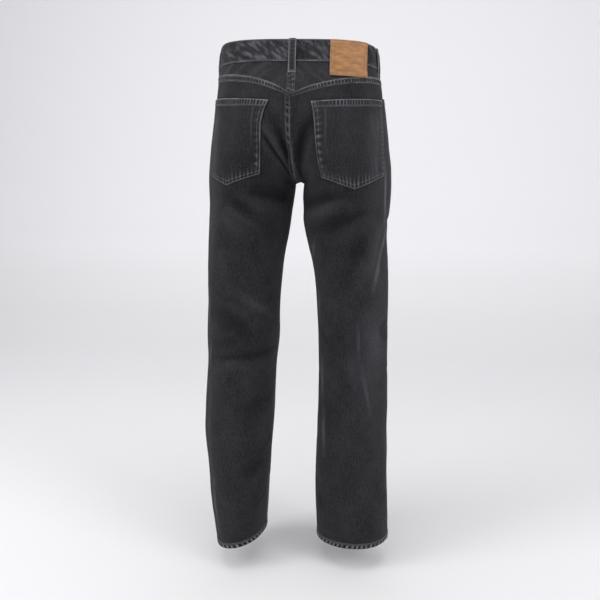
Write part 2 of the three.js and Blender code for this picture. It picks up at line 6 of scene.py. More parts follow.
import math
import bpy
import numpy as np
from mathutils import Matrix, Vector


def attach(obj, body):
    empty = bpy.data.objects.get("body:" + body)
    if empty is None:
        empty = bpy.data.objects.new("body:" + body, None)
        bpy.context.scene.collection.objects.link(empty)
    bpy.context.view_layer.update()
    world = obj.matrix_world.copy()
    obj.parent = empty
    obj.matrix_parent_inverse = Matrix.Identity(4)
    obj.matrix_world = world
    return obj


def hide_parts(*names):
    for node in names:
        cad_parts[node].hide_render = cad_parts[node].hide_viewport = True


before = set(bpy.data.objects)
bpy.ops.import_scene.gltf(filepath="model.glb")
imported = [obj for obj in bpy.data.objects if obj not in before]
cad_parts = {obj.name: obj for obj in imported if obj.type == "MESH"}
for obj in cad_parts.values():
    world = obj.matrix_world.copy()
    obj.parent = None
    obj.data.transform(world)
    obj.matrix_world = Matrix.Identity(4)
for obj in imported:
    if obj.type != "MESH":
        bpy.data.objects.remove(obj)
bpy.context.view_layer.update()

MM = 0.001
SIDES = ("left", "right")
SIGN = {"left": 1.0, "right": -1.0}
OTHER = {"left": "right", "right": "left"}


# Sizes, the same as the solids'

CLOTH = 1.5
CLEARANCE = 0.3
BAND_TOP, BAND_BOTTOM = -3.5, 38.0
CROTCH = 259.0
HEM_TURN_UP = 13.0
HEM_DOWN = {"left": 1034.0, "right": 1037.0}
HIP_ROLL, HIP_ROLL_ENDS = 0.037, 230.0
FRONT_DROP, FRONT_DROP_ENDS, WAIST_DEPTH = 24.0, 170.0, 200.0
HEM_TILT = {"left": 14.0, "right": -4.5}
HEM_TILT_STARTS, HEM_TILT_FULL = 860.0, 1010.0
LEG_SQUARENESS = 2.1
SWING_STARTS = {"front": 188.0, "back": 134.0}
SADDLE_HALF_GAP = 6.0
MATCHING_STARTS, MATCHING_SHARE = 60.0, 0.7
YOKE_AT_SIDE, YOKE_AT_BACK = 55.0, 101.0
YOKE_POINT_WIDTH = {"left": 0.28, "right": 0.45}
BAND_PROUD = 1.2
BAND_SLIT_ACROSS = 0.92
SCOOP = {"across": 0.42, "down": 55.0}
COIN_POCKET = {"from": 0.09, "to": 0.36, "top": 60.0, "bottom": 106.0}
FLY = {"across": 0.2, "down": 158.0, "corner": 42.0}
POCKETS = {
    "left": {
        "top_inner": (-0.805, 111.0), "top_outer": (-0.07, 97.0), "bottom_outer": (-0.17, 245.0),
        "tip": (-0.36, 268.0), "bottom_inner": (-0.607, 245.0), "bow": 0.042,
    },
    "right": {
        "top_inner": (-0.815, 114.0), "top_outer": (-0.08, 99.0), "bottom_outer": (-0.135, 250.0),
        "tip": (-0.375, 277.0), "bottom_inner": (-0.63, 253.0), "bow": 0.012,
    },
}
LOOP = {"width": 14.0, "thick": 1.6, "below": 60.0}
LOOPS = {
    "belt_loop_centre_back": ("right", -0.997),
    "belt_loop_left_side": ("left", -0.1),
    "belt_loop_right_side": ("right", -0.1),
    "belt_loop_left_front": ("left", 0.55),
    "belt_loop_right_front": ("right", 0.55),
}
PATCH = {"from": -0.685, "to": -0.352, "top": -3.0, "bottom": 64.5, "thick": 1.6}
BUTTON = {"radius": 8.5, "height": 3.2, "across": 0.985}
RIVET = {"radius": 4.6, "height": 1.4, "from_seam": 8.0, "from_mouth": 0.035, "from_side": 0.04}
ACROSS_UNIT = 250.0


def table(columns, rows):
    return dict(zip(columns.split(), np.array(rows, float).T))


TRUNK = table("down width front back squareness", [
    (-10, 156, 97, 102, 3.1),
    (0, 157, 98, 104, 3.1),
    (40, 162, 103, 112, 2.9),
    (80, 170, 108, 124, 2.5),
    (120, 176, 112, 134, 2.35),
    (160, 181, 114, 140, 2.35),
    (205, 186, 114, 141, 2.35),
    (270, 191, 113, 134, 2.35),
])
HIP_ROWS = [(60, 97, 4, 73, 106, 118, 0), (150, 102, 6, 81, 112, 130, 0), (205, 102, 7, 86, 112, 127, 0)]
LEGS = {
    "left": table("down x y width front back turn", HIP_ROWS + [
        (254, 101.5, 6, 90.5, 110, 119, 0),
        (300, 105, 5, 88, 105, 109, 0),
        (363, 112, 4, 86, 96, 98, 0),
        (428, 120, 4, 82, 89, 88, 0),
        (493, 125, 4, 80, 83, 80, 0),
        (592, 128.5, 5, 79.5, 76, 72, 0),
        (660, 131, 11, 77, 74, 71, 0),
        (728, 133, 21, 77, 73, 73, 0),
        (795, 134.6, 32, 76.6, 73, 73, -1),
        (861, 131.7, 42, 70.5, 74, 74, -3),
        (928, 128.6, 53, 63.5, 76, 76, -4),
        (1030, 124, 60, 54.3, 82, 74, 2),
    ]),
    "right": table("down x y width front back turn", HIP_ROWS + [
        (254, 100.5, 6, 89.5, 110, 119, 0),
        (300, 98, 4, 91, 105, 109, 2),
        (363, 98, 1, 86, 96, 99, 4),
        (428, 107, -4, 80, 89, 90, 6),
        (493, 112, -8, 77, 83, 82, 8),
        (592, 114, -14, 76, 76, 73, 10),
        (660, 115.6, -12, 75.8, 73, 72, 10),
        (728, 116.8, -6, 76.8, 71, 71, 11),
        (795, 115.6, 3, 77.6, 68, 69, 12),
        (861, 115.6, 11, 79.6, 64, 65, 13),
        (928, 116.7, 18, 81.3, 58, 64, 15),
        (1030, 122, 27, 80, 50, 70, 14.5),
    ]),
}
SIDE_SEAM = table("down behind", [(0, 10), (60, 13), (150, 14.5), (260, 12), (420, 4), (600, 0), (1030, 0)])
SADDLE_SPREAD = table("down spread", [(60, 0.1), (150, 0.09), (CROTCH, 0.035), (300, 0.035)])

# The next three hold lines on the cloth: across and down of the start, across and down of the end, then
# height or strength, and reach to each side.

# The largest folds, as in the solids
FOLDS = {
    "left": [
        (-0.5, 270, -0.93, 292, -4.5, 13), (-0.28, 290, -0.62, 345, -3.5, 15),
        (-0.27, 316, -0.6, 372, 2.5, 13), (-0.7, 150, -0.965, 226, 5, 12),
        (-0.84, 150, -0.97, 205, -6, 12), (-0.2, 520, -0.62, 558, -3, 20),
        (-0.5, 520, -0.8, 575, 2.5, 15), (-0.3, 600, -0.7, 560, -2.5, 18),
        (-0.25, 640, -0.9, 612, -3, 11), (0.28, 262, 0.8, 300, -4, 15),
        (0.35, 322, 0.85, 290, 3, 14), (0.2, 560, 0.75, 604, -3, 18),
        (0.25, 650, 0.8, 626, 3, 16), (0.3, 880, 0.8, 850, -3, 16),
        (0.2, 930, 0.75, 960, -4, 14), (0.2, 962, 0.8, 990, 3, 12),
        (-0.6, 880, -0.92, 840, -2.5, 14),
    ],
    "right": [
        (-0.45, 284, -0.88, 310, -4.5, 13), (-0.34, 318, -0.7, 362, -4, 13),
        (-0.4, 292, -0.86, 340, 2.5, 12), (-0.8, 150, -0.97, 212, -6, 14),
        (-0.08, 330, -0.36, 470, 3.5, 13), (-0.2, 330, -0.45, 452, -2.5, 17),
        (-0.45, 520, -0.42, 740, 2, 12), (-0.2, 548, -0.05, 604, -3, 12),
        (-0.86, 640, -0.78, 740, -2.5, 14), (-0.8, 800, -0.75, 930, 2.5, 14),
        (0.28, 262, 0.8, 306, -4, 15), (0.35, 330, 0.85, 296, 3, 14),
        (0.2, 570, 0.75, 606, -3, 18), (0.25, 655, 0.8, 632, 3, 16),
        (0.25, 900, 0.8, 872, -3, 16), (0.2, 938, 0.75, 970, -4, 14),
        (0.2, 972, 0.8, 1000, 3, 12),
    ],
}

# Finer creases
CREASES = {
    "left": [
        (-0.69, 168, -0.8, 201, -2.6, 4.5), (-0.785, 197, -0.985, 241, -3.0, 4.5),
        (-0.6, 172, -0.88, 240, 1.6, 9), (-0.56, 284, -0.935, 296, -2.0, 7),
        (-0.5, 306, -0.86, 318, 1.0, 9), (-0.34, 284, -0.615, 326, -1.3, 6),
        (-0.3, 300, -0.63, 354, 1.6, 8), (-0.66, 352, -0.93, 372, -1.0, 9),
        (-0.36, 492, -0.6, 518, -1.5, 8), (-0.575, 498, -0.81, 538, 1.5, 8),
        (-0.425, 560, -0.715, 534, -1.5, 9), (-0.34, 588, -0.56, 574, 1.0, 7),
        (-0.3, 632, -0.62, 627, -1.4, 6), (-0.62, 629, -0.98, 612, -1.2, 6),
        (-0.36, 652, -0.7, 644, 0.9, 9), (-0.195, 492, -0.19, 554, 1.5, 7),
        (-0.225, 610, -0.22, 648, 1.6, 7), (-0.3, 902, -0.305, 988, 1.5, 8),
        (-0.6, 742, -0.9, 706, -0.9, 9), (-0.965, 928, -0.78, 952, -1.6, 6),
        (-0.95, 800, -0.74, 838, -1.0, 8), (0.96, 212, 0.52, 184, -2.2, 8),
        (0.95, 232, 0.42, 226, -2.0, 7), (0.94, 250, 0.5, 276, -1.8, 8),
        (0.88, 200, 0.6, 152, 1.4, 9), (0.2, 150, 0.5, 128, -1.2, 9),
        (0.15, 232, 0.4, 262, -1.3, 8), (0.2, 540, 0.55, 556, 1.4, 8),
        (0.42, 604, 0.86, 588, -1.4, 7), (0.16, 668, 0.5, 690, -1.2, 8),
        (0.5, 906, 0.9, 918, -1.5, 7), (0.15, 985, 0.55, 1000, -1.4, 7),
    ],
    "right": [
        (-0.79, 150, -0.97, 190, -2.6, 7), (-0.93, 188, -0.945, 236, -2.0, 6),
        (-0.7, 160, -0.86, 236, 1.6, 9), (-0.72, 303, -0.46, 291, -1.8, 7),
        (-0.66, 326, -0.4, 312, 1.0, 9), (-0.57, 357, -0.41, 334, -1.3, 6),
        (-0.42, 335, -0.26, 317, -1.2, 6), (-0.56, 384, -0.34, 356, 0.9, 9),
        (0.03, 236, 0.01, 336, 1.5, 12), (-0.06, 346, 0.12, 338, -3.0, 7),
        (-0.02, 348, -0.15, 408, 2.2, 6), (-0.15, 405, -0.235, 476, 1.8, 7),
        (-0.09, 350, -0.23, 416, -1.5, 8), (-0.38, 552, -0.375, 622, 0.8, 4.5),
        (-0.36, 640, -0.265, 746, 0.8, 4.5), (0.02, 538, -0.18, 561, -1.6, 7),
        (0.06, 660, -0.15, 673, -1.8, 7), (0.02, 920, -0.13, 936, -1.8, 7),
        (-0.73, 364, -0.8, 416, 1.6, 7), (-0.77, 497, -0.787, 546, 1.6, 7),
        (-0.75, 640, -0.75, 716, 1.6, 7), (-0.715, 748, -0.69, 838, 1.5, 7),
        (-0.79, 556, -0.625, 612, -1.2, 7), (-0.75, 930, -0.67, 967, -1.2, 7),
        (0.97, 208, 0.55, 178, -2.0, 7), (0.95, 229, 0.45, 218, -2.2, 8),
        (0.93, 252, 0.47, 282, -1.7, 7), (0.86, 196, 0.62, 146, 1.3, 9),
        (0.18, 142, 0.46, 122, -1.3, 8), (0.5, 348, 0.9, 330, -1.0, 8),
        (0.22, 548, 0.6, 560, 1.3, 8), (0.38, 612, 0.84, 600, -1.5, 7),
        (0.2, 684, 0.52, 700, -1.2, 8), (0.48, 914, 0.88, 930, -1.5, 7),
        (0.2, 990, 0.6, 1008, -1.4, 7),
    ],
}

# Where the colour has rubbed off, plus painted highlights along ridges and the legs' fold edges; below 0,
# darker in creases and hollows, mostly painted shade and partly cloth that stayed unworn
RUBS_AND_PAINTED_LIGHT = {
    "left": [
        (-0.195, 488, -0.19, 556, 0.15, 3.5), (-0.225, 606, -0.22, 650, 0.16, 3.5),
        (-0.24, 660, -0.27, 890, 0.055, 6), (-0.3, 895, -0.305, 992, 0.14, 4.5),
        (-0.3, 300, -0.63, 354, 0.045, 9), (-0.22, 250, -0.2, 420, 0.035, 12),
        (-0.575, 498, -0.81, 538, 0.05, 11), (-0.34, 588, -0.56, 574, 0.03, 12),
        (-0.3, 640, -0.65, 640, 0.03, 9), (-0.25, 120, -0.25, 240, 0.05, 24),
        (-0.69, 164, -0.8, 201, -0.12, 3.2), (-0.785, 197, -0.985, 241, -0.13, 3.6),
        (-0.3, 118, -0.72, 132, -0.02, 16), (-0.86, 160, -0.985, 216, -0.03, 10),
        (-0.56, 284, -0.93, 296, -0.04, 6), (-0.36, 288, -0.6, 324, -0.03, 7),
        (0.5, 300, 0.5, 520, 0.07, 44), (0.45, 560, 0.5, 680, 0.06, 36),
        (0.9, 212, 0.55, 186, 0.09, 6), (0.9, 243, 0.5, 240, 0.08, 6),
    ],
    "right": [
        (-0.2, 250, -0.22, 430, 0.045, 24), (-0.2, 470, -0.25, 720, 0.1, 32),
        (-0.25, 700, -0.2, 900, 0.025, 30), (-0.7, 372, -0.8, 418, 0.13, 4),
        (-0.765, 490, -0.787, 550, 0.13, 4), (-0.755, 636, -0.75, 722, 0.13, 5),
        (-0.72, 744, -0.69, 842, 0.13, 5), (-0.02, 346, -0.15, 408, 0.24, 3.2),
        (-0.145, 402, -0.238, 480, 0.17, 4.5), (-0.12, 222, -0.07, 345, 0.36, 3.2),
        (-0.38, 550, -0.375, 624, 0.09, 2.6), (-0.36, 640, -0.265, 748, 0.1, 2.6),
        (-0.3, 120, -0.22, 240, 0.05, 22), (-0.79, 150, -0.97, 190, -0.06, 8),
        (-0.7, 302, -0.47, 292, -0.03, 7), (-0.57, 356, -0.27, 318, -0.03, 8),
        (0.48, 310, 0.5, 530, 0.07, 44), (0.46, 570, 0.5, 690, 0.06, 36),
        (0.9, 208, 0.58, 180, 0.09, 6), (0.9, 240, 0.5, 228, 0.08, 6),
    ],
}


# The surface

def mix(a, b, share):
    return a + (b - a) * share


def smooth(x):
    x = np.clip(x, 0, 1)
    return x * x * (3 - 2 * x)


def along(rows, column, down):
    """A smooth curve through one column of a table."""
    at, value = rows["down"], rows[column]
    before = np.maximum(np.arange(len(at)) - 1, 0)
    after = np.minimum(np.arange(len(at)) + 1, len(at) - 1)
    slope = (value[after] - value[before]) / (at[after] - at[before])
    i = np.clip(np.searchsorted(at, down, side="left") - 1, 0, len(at) - 2)
    step = at[i + 1] - at[i]
    s = np.clip((down - at[i]) / step, 0, 1)
    bend = s * (1 - s) * step * ((1 - s) * slope[i] - s * slope[i + 1])
    return mix(value[i], value[i + 1], s * s * (3 - 2 * s)) + bend


def rounded(angle, squareness):
    c, s = np.cos(angle), np.sin(angle)
    size = (np.abs(c) ** squareness + np.abs(s) ** squareness) ** (1 / squareness)
    return c / size, s / size


def plain_point(side, across, down):
    """The surface without its folds."""
    front = across >= 0
    share = np.abs(across)
    seam = -np.radians(along(SIDE_SEAM, "behind", down))
    matched = MATCHING_SHARE * smooth((down - MATCHING_STARTS) / (CROTCH - MATCHING_STARTS))
    eased = mix(share, np.sin(share * math.pi / 2), matched)
    trunk_angle = mix(seam, np.where(front, math.pi / 2, -math.pi / 2), eased)
    tc, ts = rounded(trunk_angle, along(TRUNK, "squareness", down))
    depth = np.where(trunk_angle > 0, along(TRUNK, "front", down), along(TRUNK, "back", down))
    trunk_x, trunk_y = along(TRUNK, "width", down) * tc, -depth * ts

    rows = LEGS[side]
    leg_angle = mix(seam, np.where(front, math.pi, -math.pi), share)
    lc, ls = rounded(leg_angle, LEG_SQUARENESS)
    turn = np.radians(along(rows, "turn", down))
    reach_x = along(rows, "width", down) * lc
    reach_y = -np.where(leg_angle > 0, along(rows, "front", down), along(rows, "back", down)) * ls
    leg_x = along(rows, "x", down) + reach_x * np.cos(turn) - reach_y * np.sin(turn)
    leg_y = along(rows, "y", down) + reach_x * np.sin(turn) + reach_y * np.cos(turn)
    spread = along(SADDLE_SPREAD, "spread", down)
    from_crotch = np.hypot((1 - share) / spread, np.maximum(0, down - CROTCH) / SADDLE_HALF_GAP)
    leg_x = leg_x * np.sqrt(1 - (1 - np.clip(from_crotch, 0, 1)) ** 2)

    swing_start = np.where(front, SWING_STARTS["front"], SWING_STARTS["back"])
    swing = np.clip((down - swing_start) / (CROTCH - swing_start), 0, 1)
    edge = share ** 4
    weight = mix(smooth(swing), 1 - np.cos(swing * math.pi / 2), edge)
    x, y = mix(trunk_x, leg_x, weight), mix(trunk_y, leg_y, weight)
    dip = (CROTCH - swing_start) * (np.sin(swing * math.pi / 2) - swing) * edge
    roll = HIP_ROLL * (1 - smooth(down / HIP_ROLL_ENDS)) * SIGN[side] * x
    drop = FRONT_DROP * (1 - smooth(down / FRONT_DROP_ENDS)) * (0.5 - y / WAIST_DEPTH) ** 2
    tilt = HEM_TILT[side] * smooth((down - HEM_TILT_STARTS) / (HEM_TILT_FULL - HEM_TILT_STARTS)) * lc
    return np.stack([SIGN[side] * x, y, -down - dip + roll - drop - tilt], -1)


def fold_back(across):
    """Which places are past the centre line or the inseam, and the same places mirrored about it."""
    past = np.abs(across) > 1
    return past, np.where(past, np.sign(across) * 2 - across, across)


def any_point(side, across, down):
    """The same, also past the centre line, on the other half, and past the inseam, on round the leg."""
    inside = plain_point(side, np.clip(across, -1, 1), down)
    past, folded = fold_back(across)
    if not past.any():
        return inside
    round_leg = plain_point(side, np.where(past, -folded, across), down)
    over_centre = plain_point(OTHER[side], folded, down)
    outside = np.where((down >= CROTCH)[..., None], round_leg, over_centre)
    return np.where(past[..., None], outside, inside)


def from_line(across, down, start, end):
    """Where places on the cloth are from a line: share of its length, and millimetres beside and past it."""
    line = (end[0] - start[0]) * ACROSS_UNIT, end[1] - start[1]
    here = (across - start[0]) * ACROSS_UNIT, down - start[1]
    length = math.hypot(*line)
    run = (here[0] * line[0] + here[1] * line[1]) / length
    off = (here[0] * line[1] - here[1] * line[0]) / length
    return run / length, off, np.maximum(np.maximum(-run, run - length), 0)


def line_height(across, down, rows):
    """How far a table of lines lifts the cloth, or how much it rubs it."""
    height = np.zeros(np.shape(across))
    for *ends, lift, reach in rows:
        share, off, past = from_line(across, down, ends[:2], ends[2:])
        taper = np.sin(math.pi * np.clip(share, 0.12, 0.88))
        height += lift * taper * np.exp(-(off / reach) ** 2 - (past / (1.5 * reach)) ** 2)
    return height


def fold_height(side, across, down):
    return line_height(across, down, FOLDS[side] + CREASES[side])


def wear_and_painted_light(side, across, down):
    """Wear and painted light of the plain cloth: paler where it rubs and on ridges, partly painted highlight,
    and darker in the folds as painted shade.
    """
    # Paler on fold crests as wear, darker in fold troughs as painted shade
    fold_wear_and_shade = np.clip(0.014 * fold_height(side, across, down), -0.045, 0.05)
    return line_height(across, down, RUBS_AND_PAINTED_LIGHT[side]) + fold_wear_and_shade


def arcs(points, axis):
    """Distance along the rows or columns of a grid."""
    steps = np.linalg.norm(np.diff(points, axis=axis), axis=-1)
    total = np.cumsum(steps, axis=axis)
    return np.concatenate([np.zeros_like(np.take(total, [0], axis=axis)), total], axis=axis)


def place_on(side, across, down):
    """Points of the cloth, folds included, and the way out of it."""
    across, down = np.broadcast_arrays(np.asarray(across, float), np.asarray(down, float))
    step, drop = 0.004, 1.0
    a = any_point(side, across + step, down) - any_point(side, across - step, down)
    b = any_point(side, across, down + drop) - any_point(side, across, down - drop)
    out = np.cross(a, b) * SIGN[side]
    out /= np.linalg.norm(out, axis=-1, keepdims=True)
    past, folded = fold_back(across)
    height = fold_height(side, across, down)
    if past.any():
        height = np.where(past, fold_height(OTHER[side], folded, down), height)
    return any_point(side, across, down) + out * height[..., None], out


def lay(side, across, down):
    """A grid of such points, and the distances along its rows and along its columns."""
    points, out = place_on(side, across, down)
    return points, out, arcs(points, 1), arcs(points, 0)


def noise(u, v, seed):
    """Smooth random values from -1 to 1, one cell to a unit."""
    cells = np.random.default_rng(seed).uniform(-1, 1, (256, 256))
    iu, iv = np.floor(u).astype(int), np.floor(v).astype(int)
    fu, fv = smooth(u - iu), smooth(v - iv)
    pick = lambda a, b: cells[a % 256, b % 256]
    low = mix(pick(iu, iv), pick(iu + 1, iv), fu)
    high = mix(pick(iu, iv + 1), pick(iu + 1, iv + 1), fu)
    return mix(low, high, fv)


def phase_along(s, d, pitch, seed, lean=0.15):
    """Which pucker of a seam this is, counted along it: s is along the seam and d is away from it."""
    return (s + lean * d) / pitch + 0.35 * noise(s / 31, d / 40, seed)


def ripples(s, d, pitch, seed, lean=0.15, order=0.75):
    """Puckers along a seam, from -1 to 1. order is how regular they are."""
    beat = np.sin(2 * math.pi * phase_along(s, d, pitch, seed, lean))
    uneven = noise(s / (0.45 * pitch), d / 25, seed + 1)
    strength = 0.7 + 0.5 * noise(s / 27, d / 60, seed + 2)
    return np.clip(strength * (order * beat + 1.3 * (1 - order) * uneven), -1, 1)


def line_mask(d, at, width):
    return np.clip(1 - np.abs(d - at) / width, 0, 1)


def near_line(across, down, outline, reach):
    """1 on a line through these places, falling to 0 at reach from it, in millimetres."""
    nearest = np.full(np.shape(across), float(reach))
    for start, end in zip(outline, outline[1:]):
        _, off, past = from_line(across, down, start, end)
        nearest = np.minimum(nearest, np.hypot(off, past))
    return smooth(1 - nearest / reach)


def pocket_outline(side):
    corner = POCKETS[side]
    share = np.linspace(0, 1, 9)
    across = mix(corner["top_inner"][0], corner["bottom_inner"][0], share)
    down = mix(corner["top_inner"][1], corner["bottom_inner"][1], share)
    inner_edge = list(zip(across + corner["bow"] * np.sin(math.pi * share ** 0.8), down))
    return inner_edge + [corner[name] for name in ("tip", "bottom_outer", "top_outer", "top_inner")]


def patch_outline():
    low, high, top, bottom = PATCH["from"], PATCH["to"], PATCH["top"], PATCH["bottom"]
    return [(low, top), (low, bottom), (high, bottom), (high, top)]


# Seams: width, how far the folded cloth rises, depth and pitch of its puckers, wear of its edge and of its
# far line, strength of the pale ticks on its puckers, and how regular they are
SEAMS = {
    "seat_left": (12.5, 0.7, 0.6, 10.5, 0.5, 0.18, 0.42, 0.5),
    "seat_right": (5.0, 0.245, 0.21, 10.5, 0.5, 0.18, 0.42, 0.5),
    "yoke_fell": (11.0, 0.7, 0.6, 6.2, 0.62, 0.45, 0.55, 0.75),
    "yoke_centre": (8.0, 0.5, 0.6, 9, 0.15, 0.4, 0.45, 0.5),
    "back_side": (4.0, 0.3, 0.3, 14, 0.4, 0, 0.3, 0.75),
    "front_side": (4.0, 0.4, 0.3, 14, 0.45, 0, 0.3, 0.75),
    "front_centre": (9.0, 0.4, 0.4, 6.4, 0.5, 0.2, 0.35, 0.75),
    "mouth": (9.0, 0.5, 0.4, 6.4, 0.8, 0.35, 0.6, 0.75),
    "coin_hem": (10.0, 0.3, 0.3, 6.4, 0.8, 0.35, 0.6, 0.75),
    "pocket_inner": (9.0, 0.25, 0.4, 9, 0.85, 0.1, 0.25, 0.75),
    "pocket_outer": (9.0, 0.25, 0.4, 9, 1.15, 0.2, 0.45, 0.75),
    "pocket_bottom": (9.0, 0.25, 0.4, 7.7, 0.8, 0.05, 0.3, 0.75),
    "pocket_hem": (13.0, 0.6, 0.5, 6.4, 1.2, 0.4, 0.65, 0.75),
    "fly_edge": (9.0, 0.3, 0.4, 6.4, 0.9, 0.4, 0.6, 0.75),
    "fly_centre": (4.0, 0.2, 0.3, 6.4, 0.8, 0, 0.3, 0.75),
    "band_bottom": (5.0, 0, 0.35, 6.4, 0.75, 0, 0.3, 0.75),
    "band_top": (5.0, 0, 0.25, 6.4, 0.35, 0, 0.2, 0.75),
}
FELL, YOKE_FELL, POCKET_HEM = (SEAMS[name][0] for name in ("seat_left", "yoke_fell", "pocket_hem"))


def seam_band(name, d, s, seed):
    """A seam's height, wear and pale ticks, d from its edge and s along it."""
    width, rise, pucker, pitch, near, far, dashes, order = SEAMS[name]
    inside = smooth((width + 0.7 - d) / 1.4)
    middle = np.sin(math.pi * np.clip(d / width, 0, 1)) ** 0.7
    wave = ripples(s, d, pitch, seed, order=order)
    grooves = line_mask(d, 2.6, 1.6) + line_mask(d, width - 2.6, 1.6)
    height = inside * (rise + pucker * wave * middle) - 0.25 * rise * grooves
    fade = 0.7 + 0.45 * noise(s / 14, d / 30, seed + 2)
    wear = fade * (near * line_mask(d, 0.7, 1.6) + far * line_mask(d, width, 1.5))
    strength = dashes * inside * middle * np.clip(0.75 + 0.6 * noise(s / 27, d / 60, seed + 2), 0.1, 1.2)
    return height, wear, (phase_along(s, d, pitch, seed), strength)


def faded(ticks, share):
    return ticks[0], ticks[1] * share


def strongest(ticks):
    """Of several seams' ticks, the phase and strength of the strongest at each point."""
    phases, strengths = (np.stack(values) for values in zip(*ticks))
    best = strengths.argmax(0)[None]
    return np.take_along_axis(phases, best, 0)[0], np.take_along_axis(strengths, best, 0)[0]


# Grids

def offsets(length, step, near_band=None, far_band=None):
    """Places along an edge to edge line of this length, closer together at its ends and at seam lines."""
    fine = [0, 0.5, 1.2, 2.1, 3.4]
    marks = fine + [length - f for f in fine]
    for band, flip in ((near_band, False), (far_band, True)):
        if band:
            marks += [abs(flip * length - (band + f)) for f in (-1.5, -0.7, 0, 0.7, 1.5)]
    marks.sort()
    places = []
    for a, b in zip(marks, marks[1:]):
        if b - a > 1e-6:
            count = max(1, round((b - a) / step))
            places += list(np.linspace(a, b, count, endpoint=False))
    return np.array(places + [length])


def unit_grid(wide, long, column_step, row_step, column_bands=(), row_bands=()):
    """A grid over a piece, in shares of its width and length, and the distances that its sewing goes by."""
    columns = offsets(wide, column_step, *column_bands) / wide
    rows = offsets(long, row_step, *row_bands) / long
    return *np.meshgrid(columns, rows), (columns * wide, rows * long)


def grid_area(points):
    a, b = points[1:, :-1] - points[:-1, :-1], points[:-1, 1:] - points[:-1, :-1]
    return np.linalg.norm(np.cross(a, b), axis=-1).sum()


CLOTH_PIECES = {}


def link(name, data):
    made = bpy.data.objects.new(name, data)
    bpy.context.scene.collection.objects.link(made)
    return made


def make_mesh(name, vertices, faces, materials, face_material=None, uv=None, values=None):
    mesh = bpy.data.meshes.new(name)
    mesh.from_pydata((vertices * MM).tolist(), [], faces)
    mesh.polygons.foreach_set("use_smooth", np.ones(len(mesh.polygons), bool))
    if face_material is not None:
        mesh.polygons.foreach_set("material_index", face_material)
    if uv is not None:
        corner = np.empty(len(mesh.loops), int)
        mesh.loops.foreach_get("vertex_index", corner)
        mesh.uv_layers.new(name="cloth").data.foreach_set("uv", (uv * MM)[corner].ravel())
    for key, value in (values or {}).items():
        mesh.attributes.new(key, "FLOAT", "POINT").data.foreach_set("value", value.astype(np.float32))
    for material in materials:
        mesh.materials.append(material)
    mesh.update()
    made = link(name, mesh)
    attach(made, "root")
    return made


def tube_faces(rings, corners):
    """The faces round a row of rings of points, and the two that close its ends."""
    number = np.arange(rings * corners).reshape(rings, corners)
    after = np.roll(number, -1, axis=1)
    walls = np.stack([number[:-1], after[:-1], after[1:], number[1:]], -1).reshape(-1, 4)
    return walls.tolist() + [number[0, ::-1].tolist(), number[-1].tolist()]


def sheet_mesh(name, outer, inner, out, values, materials):
    """A closed thin shell between two grids of points. Its second material is the inner face."""
    rows, columns = outer.shape[:2]
    count = rows * columns
    number = np.arange(count).reshape(rows, columns)
    a, b, c, d = number[:-1, :-1], number[:-1, 1:], number[1:, 1:], number[1:, :-1]
    middle = outer[rows // 2, columns // 2]
    turn = np.cross(outer[rows // 2, columns // 2 + 1] - middle, outer[rows // 2 + 1, columns // 2] - middle)
    order = -1 if turn @ out[rows // 2, columns // 2] < 0 else 1
    quads = np.stack([a, b, c, d], -1).reshape(-1, 4)[:, ::order]
    rim = np.concatenate([number[0, :-1], number[:-1, -1], number[-1, :0:-1], number[:0:-1, 0]])
    after = np.roll(rim, -1)
    edge = np.stack([after, rim, rim + count, after + count], -1)[:, ::order]
    faces = np.concatenate([quads, quads[:, ::-1] + count, edge])
    kinds = np.concatenate([np.zeros(len(quads), int), np.ones(len(quads), int), np.zeros(len(edge), int)])
    uv = np.stack([arcs(outer, 1), -arcs(outer, 0)], -1).reshape(-1, 2)
    vertices = np.concatenate([outer.reshape(-1, 3), inner.reshape(-1, 3)])
    both = {key: np.concatenate([value.ravel(), np.zeros(count)]) for key, value in values.items()}
    return make_mesh(name, vertices, faces.tolist(), materials, kinds, np.concatenate([uv, uv]), both)


def keep_piece(name, made, places, points, outer, out, held, rests):
    """Sets down what a finished sheet is, for its sewing and for its flat size."""
    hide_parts(name)
    wide, long = arcs(points, 1)[:, -1].max(), arcs(points, 0)[-1].max()
    CLOTH_PIECES[name] = {
        "made": made, "u": places[0], "v": places[1], "outer": outer, "out": out, "thread": [],
        "held": held, "rests": rests,
        "flat": (wide * MM, long * MM),
        "area": min(grid_area(points), 0.999 * wide * long) * MM * MM,
    }
    return CLOTH_PIECES[name]


def cloth_piece(
    name, places, points, out, height, wear, ticks=(), thick=CLOTH, base=0.0, inner_extra=0.0,
    held="hung", rests=(),
):
    """One cut piece of cloth: points is the surface, and height is what its seams and puckers add.
    places are the grid's columns and rows, as distances by which its sewing is laid out."""
    outer = points + out * (base + height)[..., None]
    depth = np.minimum(base - thick + 0.4 * height - inner_extra, base + height - 0.4)
    inner = points + out * depth[..., None]
    # The colour shift stored here holds wear, and on some pieces also painted shade and painted highlights
    values = {"wear": wear}
    if ticks:
        values["tick_phase"], values["tick"] = strongest(ticks)
    made = sheet_mesh("cloth_" + name, outer, inner, out, values, [DENIM, DENIM_INSIDE])
    return keep_piece(name, made, places, points, outer, out, held, rests)


# Sewing: each stitch is a short thread that dips into the cloth at both ends

STITCH = {"pitch": 3.3, "length": 2.5, "radius": 0.34, "lift": 0.2}
PATH_STEP = 2.5
RING_CORNERS = 4

# A stitch's rings: share of its length, and height as a share of its lift
STITCH_RINGS = table("share rise", [(0, -2.2), (0.22, 1), (0.78, 1), (1, -2.2)])
TACK = {"pitch": 2.6, "length": 2.5}


